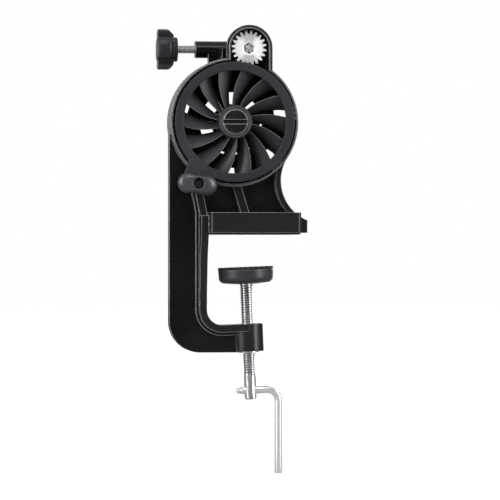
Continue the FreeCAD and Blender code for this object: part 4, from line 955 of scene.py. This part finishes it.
@dataclass
class Clamp(SubAssembly):
    """Foot, threaded screw and bent handle of the clamp."""

    screw_top: float = -23.3
    shoulder: float = -30.9
    thread_end: float = -88.4
    screw_bottom: float = -103.0
    cross_hole: float = -97.2
    screw_radius: float = 4.0
    neck_radius: float = 3.0
    shank_radius: float = 3.8
    pitch: float = 1.5
    thread_depth: float = 0.8
    rod_radius: float = 2.5
    rod_short: float = 8.6
    rod_reach: float = 17.7
    rod_drop: float = 52.6
    rod_bend: float = 7.0
    stake_length: float = 1.8
    stake_width: float = 6.2
    stake_height: float = 4.0
    stake_fade: float = 1.5
    end_round: float = 0.8
    end_share: float = 0.78

    def screw(self) -> PIECE:
        """Clamp screw with its helical thread and the cross hole for the handle."""
        shank = self.shank_radius
        profile = [(0.0, self.screw_bottom), (shank - 0.7, self.screw_bottom),
                   (shank, self.screw_bottom + 0.7), (shank, self.thread_end),
                   (self.screw_radius, self.thread_end), (self.screw_radius, self.shoulder),
                   (self.neck_radius, self.shoulder), (self.neck_radius, self.screw_top),
                   (0.0, self.screw_top)]
        piece = threaded("clamp_screw_threaded", profile, (self.thread_end, self.shoulder),
                         self.pitch, self.thread_depth, self.clamp_axis())
        axis = self.clamp_axis()
        origin = tuple(axis.points(np.array(-6.0), np.array(0.0), np.array(self.cross_hole)))
        radius = self.rod_radius + 0.05
        line = np.array([(0, 0), (radius, 0), (radius, 12), (0, 12)], float)
        cut(piece, lathe("cross_hole", line, Axis(origin, axis.across, axis.along), 64))
        return piece

    def handle(self) -> PIECE:
        """Bent rod carried along its line, with the short end flattened.

        Round the section the place is path + height sin(a) normal + width cos(a) Y, where
        height and width go from the rod's radius to the stake's sizes over stake_fade past
        stake_length. Both shrink on a quarter ellipse over end_round to the share end_share
        at each end, which is closed at its middle.
        """
        lean = math.sin(math.radians(self.lean))
        leg_x = self.rod_reach - self.rod_drop * lean
        corners = np.array([(-self.rod_short, self.cross_hole), (self.rod_reach, self.cross_hole),
                            (leg_x, self.cross_hole - self.rod_drop)])
        first, last = np.diff(corners, axis=0)
        lengths = [np.linalg.norm(first), np.linalg.norm(last)]
        first, last = first / lengths[0], last / lengths[1]
        angle = math.acos(float(first @ last))
        reach = self.rod_bend * math.tan(angle / 2)
        inwards = np.array([first[1], -first[0]])
        centre = corners[1] - first * reach + inwards * self.rod_bend
        sweep = np.linspace(0, angle, 24)[:, None]
        bend = centre - self.rod_bend * (inwards * np.cos(sweep) - first * np.sin(sweep))
        run = np.r_[0, 0.06, 0.2, 0.45, 0.8, np.linspace(1.2, lengths[0] - reach, 24)[:-1]]
        fall = np.linspace(reach, lengths[1], 40)[1:]
        fall = np.r_[fall[:-1], lengths[1] - np.array([0.5, 0.25, 0.08, 0.0])]
        path = np.vstack([corners[0] + first * run[:, None], bend,
                          corners[1] + last * fall[:, None]])
        travel = np.r_[0, np.cumsum(np.linalg.norm(np.diff(path, axis=0), axis=1))]
        tangent = np.gradient(path, axis=0)
        tangent /= np.maximum(np.linalg.norm(tangent, axis=1, keepdims=True), 1e-9)
        normal = np.stack([-tangent[:, 1], tangent[:, 0]], axis=1)
        flat = smoothstep((self.stake_length + self.stake_fade - travel) / self.stake_fade)
        flat = flat[:, None]
        end = np.minimum(travel, travel[-1] - travel)[:, None]
        rim = np.clip(1 - np.clip(1 - end / self.end_round, 0, 1) ** 2, 0, 1)
        close = np.sqrt(rim) * (1 - self.end_share) + self.end_share
        close[[0, -1]] = 0.7
        width = (self.rod_radius + (self.stake_width / 2 - self.rod_radius) * flat) * close
        height = (self.rod_radius + (self.stake_height / 2 - self.rod_radius) * flat) * close
        sides = 40
        turn = around(sides)
        place = path[:, None, :] + normal[:, None, :] * (height * np.sin(turn))[..., None]
        side = width * np.cos(turn)
        caps = [path[at, None].repeat(sides, 1) for at in (slice(0, 1), slice(-1, None))]
        place = np.concatenate([caps[0], place, caps[1]])
        side = np.concatenate([0 * side[:1], side, 0 * side[:1]])
        points = self.clamp_axis().points(place[..., 0], side, place[..., 1])
        return surface("clamp_handle_bent", points)

    def build(self) -> None:
        """Builds screw and handle, and dresses the foot."""
        self.add(self.screw(), Finish.SCREW_STEEL, "screw", "clamp_screw")
        self.add(self.handle(), Finish.ROD_STEEL, "handle", "clamp_handle")
        self.copy("clamp_pad", Finish.PAD_NYLON, "foot")
        self.copy("pad_grip", Finish.RUBBER, "foot")
        self.dress("pad_retainer", Finish.ROD_STEEL)


@dataclass
class StarKnob(SubAssembly):
    """Lobed knob on its threaded screw, with the pressure tip."""

    face_x: float = -41.029
    knob_y: float = 10.5
    length: float = 12.4
    radius: float = 12.7
    hub: float = 7.7
    collar: float = 2.5
    chamfer: float = 2.6
    shoulder: float = 10.0
    valley: float = 4.2
    lobes: int = 4
    valley_edge: float = 14.5
    valley_fade: float = 6.5
    screw_radius: float = 2.5
    screw_out: float = 23.8
    screw_in: float = 8.0
    screw_pitch: float = 0.8
    thread_depth: float = 0.45
    stem_bore: float = 1.05
    stem_depth: float = 2.0

    def axis(self) -> Axis:
        """Axis of the knob, towards the socket."""
        return Axis((self.face_x, self.knob_y, self.pinion_z), (1, 0, 0), (0, 1, 0))

    def knob(self) -> PIECE:
        """Knob: a turned profile, hollowed between its lobes by a soft minimum.

        A valley's side, at angle a from its middle, lies at c cos a - sqrt(v^2 - c^2 sin^2 a),
        and past the valley's edge it runs out beyond the profile. The radius is
        -k ln(exp(-profile / k) + exp(-valley / k)).
        """
        left, end = -self.length, -self.collar
        line = rounded([
            (0, left - 0.5), (self.hub - 1.0, left - 0.5, 0.4), (self.hub, left, 0.4),
            (self.radius, left, 1.0), (self.radius, end - self.chamfer, 1.2),
            (self.shoulder, end, 0.5), (self.hub, end, 0.2), (self.hub, 0, 0.6), (0, 0)])
        at = np.arange(0, len(line) - 1, 0.34)
        profile, along = (np.r_[np.interp(at, np.arange(len(line)), line[:, k]), 0][:, None]
                          for k in (0, 1))
        angle = around(288)
        pitch = TURN / self.lobes
        away = np.abs(np.mod(angle, pitch) - pitch / 2)
        centre = self.hub + self.valley
        dip = centre * np.cos(away) - np.sqrt(
            np.clip(self.valley ** 2 - (centre * np.sin(away)) ** 2, 0, None))
        rise = smoothstep((np.degrees(away) - self.valley_edge) / self.valley_fade)
        dip = dip * (1 - rise) + (self.radius + 2.0) * rise
        k = 0.25
        radius = -k * np.logaddexp(-profile / k, -dip / k)
        radius = np.where(profile < 1e-6, 0, np.maximum(radius, 0))
        return surface("star_knob_lobed", self.axis().points(
            radius * np.cos(angle), radius * np.sin(angle), along))

    def screw(self) -> PIECE:
        """Knob screw with its helical thread and the bore for the tip's stem."""
        end, radius = self.screw_out, self.screw_radius
        profile = [(0.0, -self.screw_in), (radius, -self.screw_in), (radius, 0.4),
                   (radius, end - 0.3), (radius - 0.4, end), (self.stem_bore, end),
                   (self.stem_bore, end - self.stem_depth), (0.0, end - self.stem_depth)]
        return threaded("knob_screw_threaded", profile, (0.4, end - 0.3), self.screw_pitch,
                        self.thread_depth, self.axis())

    def build(self) -> None:
        """Builds knob and screw, and dresses the tip."""
        self.add(self.knob(), Finish.KNOB_NYLON, "knob", "star_knob")
        self.add(self.screw(), Finish.KNOB_STEEL, "knob", "knob_screw")
        self.dress("knob_tip", Finish.BRASS)


# ---- studio

@dataclass(frozen=True)
class Lamp:
    """A soft rectangular lamp aimed at the winder, in metres and watts."""

    name: str
    place: TRIPLE
    size: PAIR
    power: float


@dataclass
class Studio:
    """Pale floor, soft lamps, and the camera in front and a little to the left."""

    target: TRIPLE = (0.0037, 0.0, -0.0096)
    distance: float = 2.0
    azimuth: float = 7.0
    lens: float = 230.4
    level: float = 0.30
    gloom: float = 0.05
    sides: TRIPLE = (0.5, 0.75, 1.1)
    ceiling: TRIPLE = (0.6, 0.9, 0.5)
    backdrop: TRIPLE = (0.5, 0.95, 0.6)
    side_front: PAIR = (0.35, -0.1)
    floor_size: float = 6.0
    floor_tone: float = 0.6
    floor_tone_to_gloss: float = 0.3
    glow_reach: PAIR = (0.6, 2.0)
    glow: PAIR = (0.75, 0.9)
    lamps: list[Lamp] = field(default_factory=lambda: [
        Lamp("left_box", (-1.75, -0.85, 0.45), (0.8, 1.3), 22.0),
        Lamp("right_box", (1.6, -1.15, 0.35), (0.8, 1.3), 22.0),
        Lamp("front_top", (-0.3, -1.5, 1.5), (1.2, 0.7), 14.0),
        Lamp("back_box", (0.7, 1.7, 0.7), (0.9, 0.9), 20.0),
    ])

    def camera(self) -> None:
        """Camera on a circle round the target, level with it."""
        data = bpy.data.cameras.new("camera")
        data.lens, data.sensor_width = self.lens, 36.0
        data.clip_start, data.clip_end = 0.05, 50.0
        camera = linked("camera", data)
        angle = math.radians(self.azimuth)
        back = Vector((-math.sin(angle), -math.cos(angle), 0.0))
        camera.location = Vector(self.target) + back * self.distance
        camera.rotation_mode = "QUATERNION"
        camera.rotation_quaternion = (-back).to_track_quat("-Z", "Y")
        bpy.context.scene.camera = camera

    def lights(self) -> None:
        """Area lamps aimed at the target."""
        for lamp in self.lamps:
            data = bpy.data.lights.new(lamp.name, "AREA")
            data.shape, data.energy = "RECTANGLE", lamp.power
            data.size, data.size_y = lamp.size
            light = linked(lamp.name, data)
            light.location = lamp.place
            aim = Vector(self.target) - light.location
            light.rotation_mode = "QUATERNION"
            light.rotation_quaternion = aim.to_track_quat("-Z", "Y")

    def world(self) -> None:
        """White to the camera, a dim room with bright panels to gloss, a plain level to the rest.

        The panels are the sides, by |x| where the way isn't towards the front, the ceiling, by
        z, and the backdrop, by y. So what gloss shows isn't the camera's white background.
        """
        world = bpy.data.worlds.new("studio")
        bpy.context.scene.world = world
        graph = emptied(world)
        path = graph.node("LightPath")
        way = graph.node("SeparateXYZ", {0: graph.node("TexCoord").outputs["Generated"]})
        beside = graph.math("MULTIPLY", graph.math("ABSOLUTE", way.outputs["X"]),
                            graph.ramp(way.outputs["Y"], *self.side_front))
        panels = [(beside, self.sides), (way.outputs["Z"], self.ceiling),
                  (way.outputs["Y"], self.backdrop)]
        seen = self.gloom
        for share, (low, high, strength) in panels:
            seen = graph.math("ADD", graph.ramp(share, low, high, (0.0, strength)), seen)
        gloss = path.outputs["Is Glossy Ray"]
        level = graph.math("ADD", graph.math("MULTIPLY", gloss, seen), graph.math(
            "MULTIPLY", graph.math("SUBTRACT", 1.0, gloss), self.level))
        room = graph.node("Background", {"Color": (1, 1, 1, 1), "Strength": level})
        white = graph.node("Background", {"Color": (1, 1, 1, 1), "Strength": 1.0})
        mixed = graph.node("MixShader", {0: path.outputs["Is Camera Ray"], 1: room.outputs[0],
                                         2: white.outputs[0]})
        graph.node("OutputWorld", {"Surface": mixed.outputs[0]})

    def floor(self, level: float) -> None:
        """Pale floor at the winder's lowest point, white to the camera and darker to gloss."""
        size = self.floor_size
        mesh = bpy.data.meshes.new("floor")
        mesh.from_pydata([(-size, -size, level), (size, -size, level), (size, size, level),
                          (-size, size, level)], [], [(0, 1, 2, 3)])
        floor = linked("floor", mesh)
        made = bpy.data.materials.new("pale_floor")
        graph = emptied(made)
        path = graph.node("LightPath")
        shade = graph.blend(path.outputs["Is Glossy Ray"], (*[self.floor_tone] * 3, 1),
                            (*[self.floor_tone_to_gloss] * 3, 1))
        pale = graph.node("BsdfDiffuse", {"Color": shade})
        away = graph.node("VectorMath", {0: graph.node("TexCoord").outputs["Object"]},
                          operation="LENGTH").outputs["Value"]
        lift = graph.math("MULTIPLY", path.outputs["Is Camera Ray"],
                          graph.ramp(away, *self.glow_reach, self.glow))
        glow = graph.node("Emission", {"Color": (1, 1, 1, 1), "Strength": lift})
        both = graph.node("AddShader", {0: pale.outputs[0], 1: glow.outputs[0]})
        graph.node("OutputMaterial", {"Surface": both.outputs[0]})
        mesh.materials.append(made)

    def build(self) -> None:
        """Sets up camera, lamps, world and floor, and the plain view settings."""
        bpy.context.scene.view_settings.view_transform = "Standard"
        self.camera()
        self.lights()
        self.world()
        self.floor(cad_box[0].z)
        log.info("studio ready, floor at %.4f m", cad_box[0].z)


def main() -> None:
    """Builds the studio and every sub-assembly, in order."""
    logging.basicConfig(level=logging.INFO, format="%(name)s: %(message)s")
    Studio().build()
    for assembly in (FrameAssembly(), CrankWheel(), OutputDrive(), Clamp(), StarKnob()):
        log.info("building %s", type(assembly).__name__)
        assembly.build()


if __name__ == "__main__":
    main()
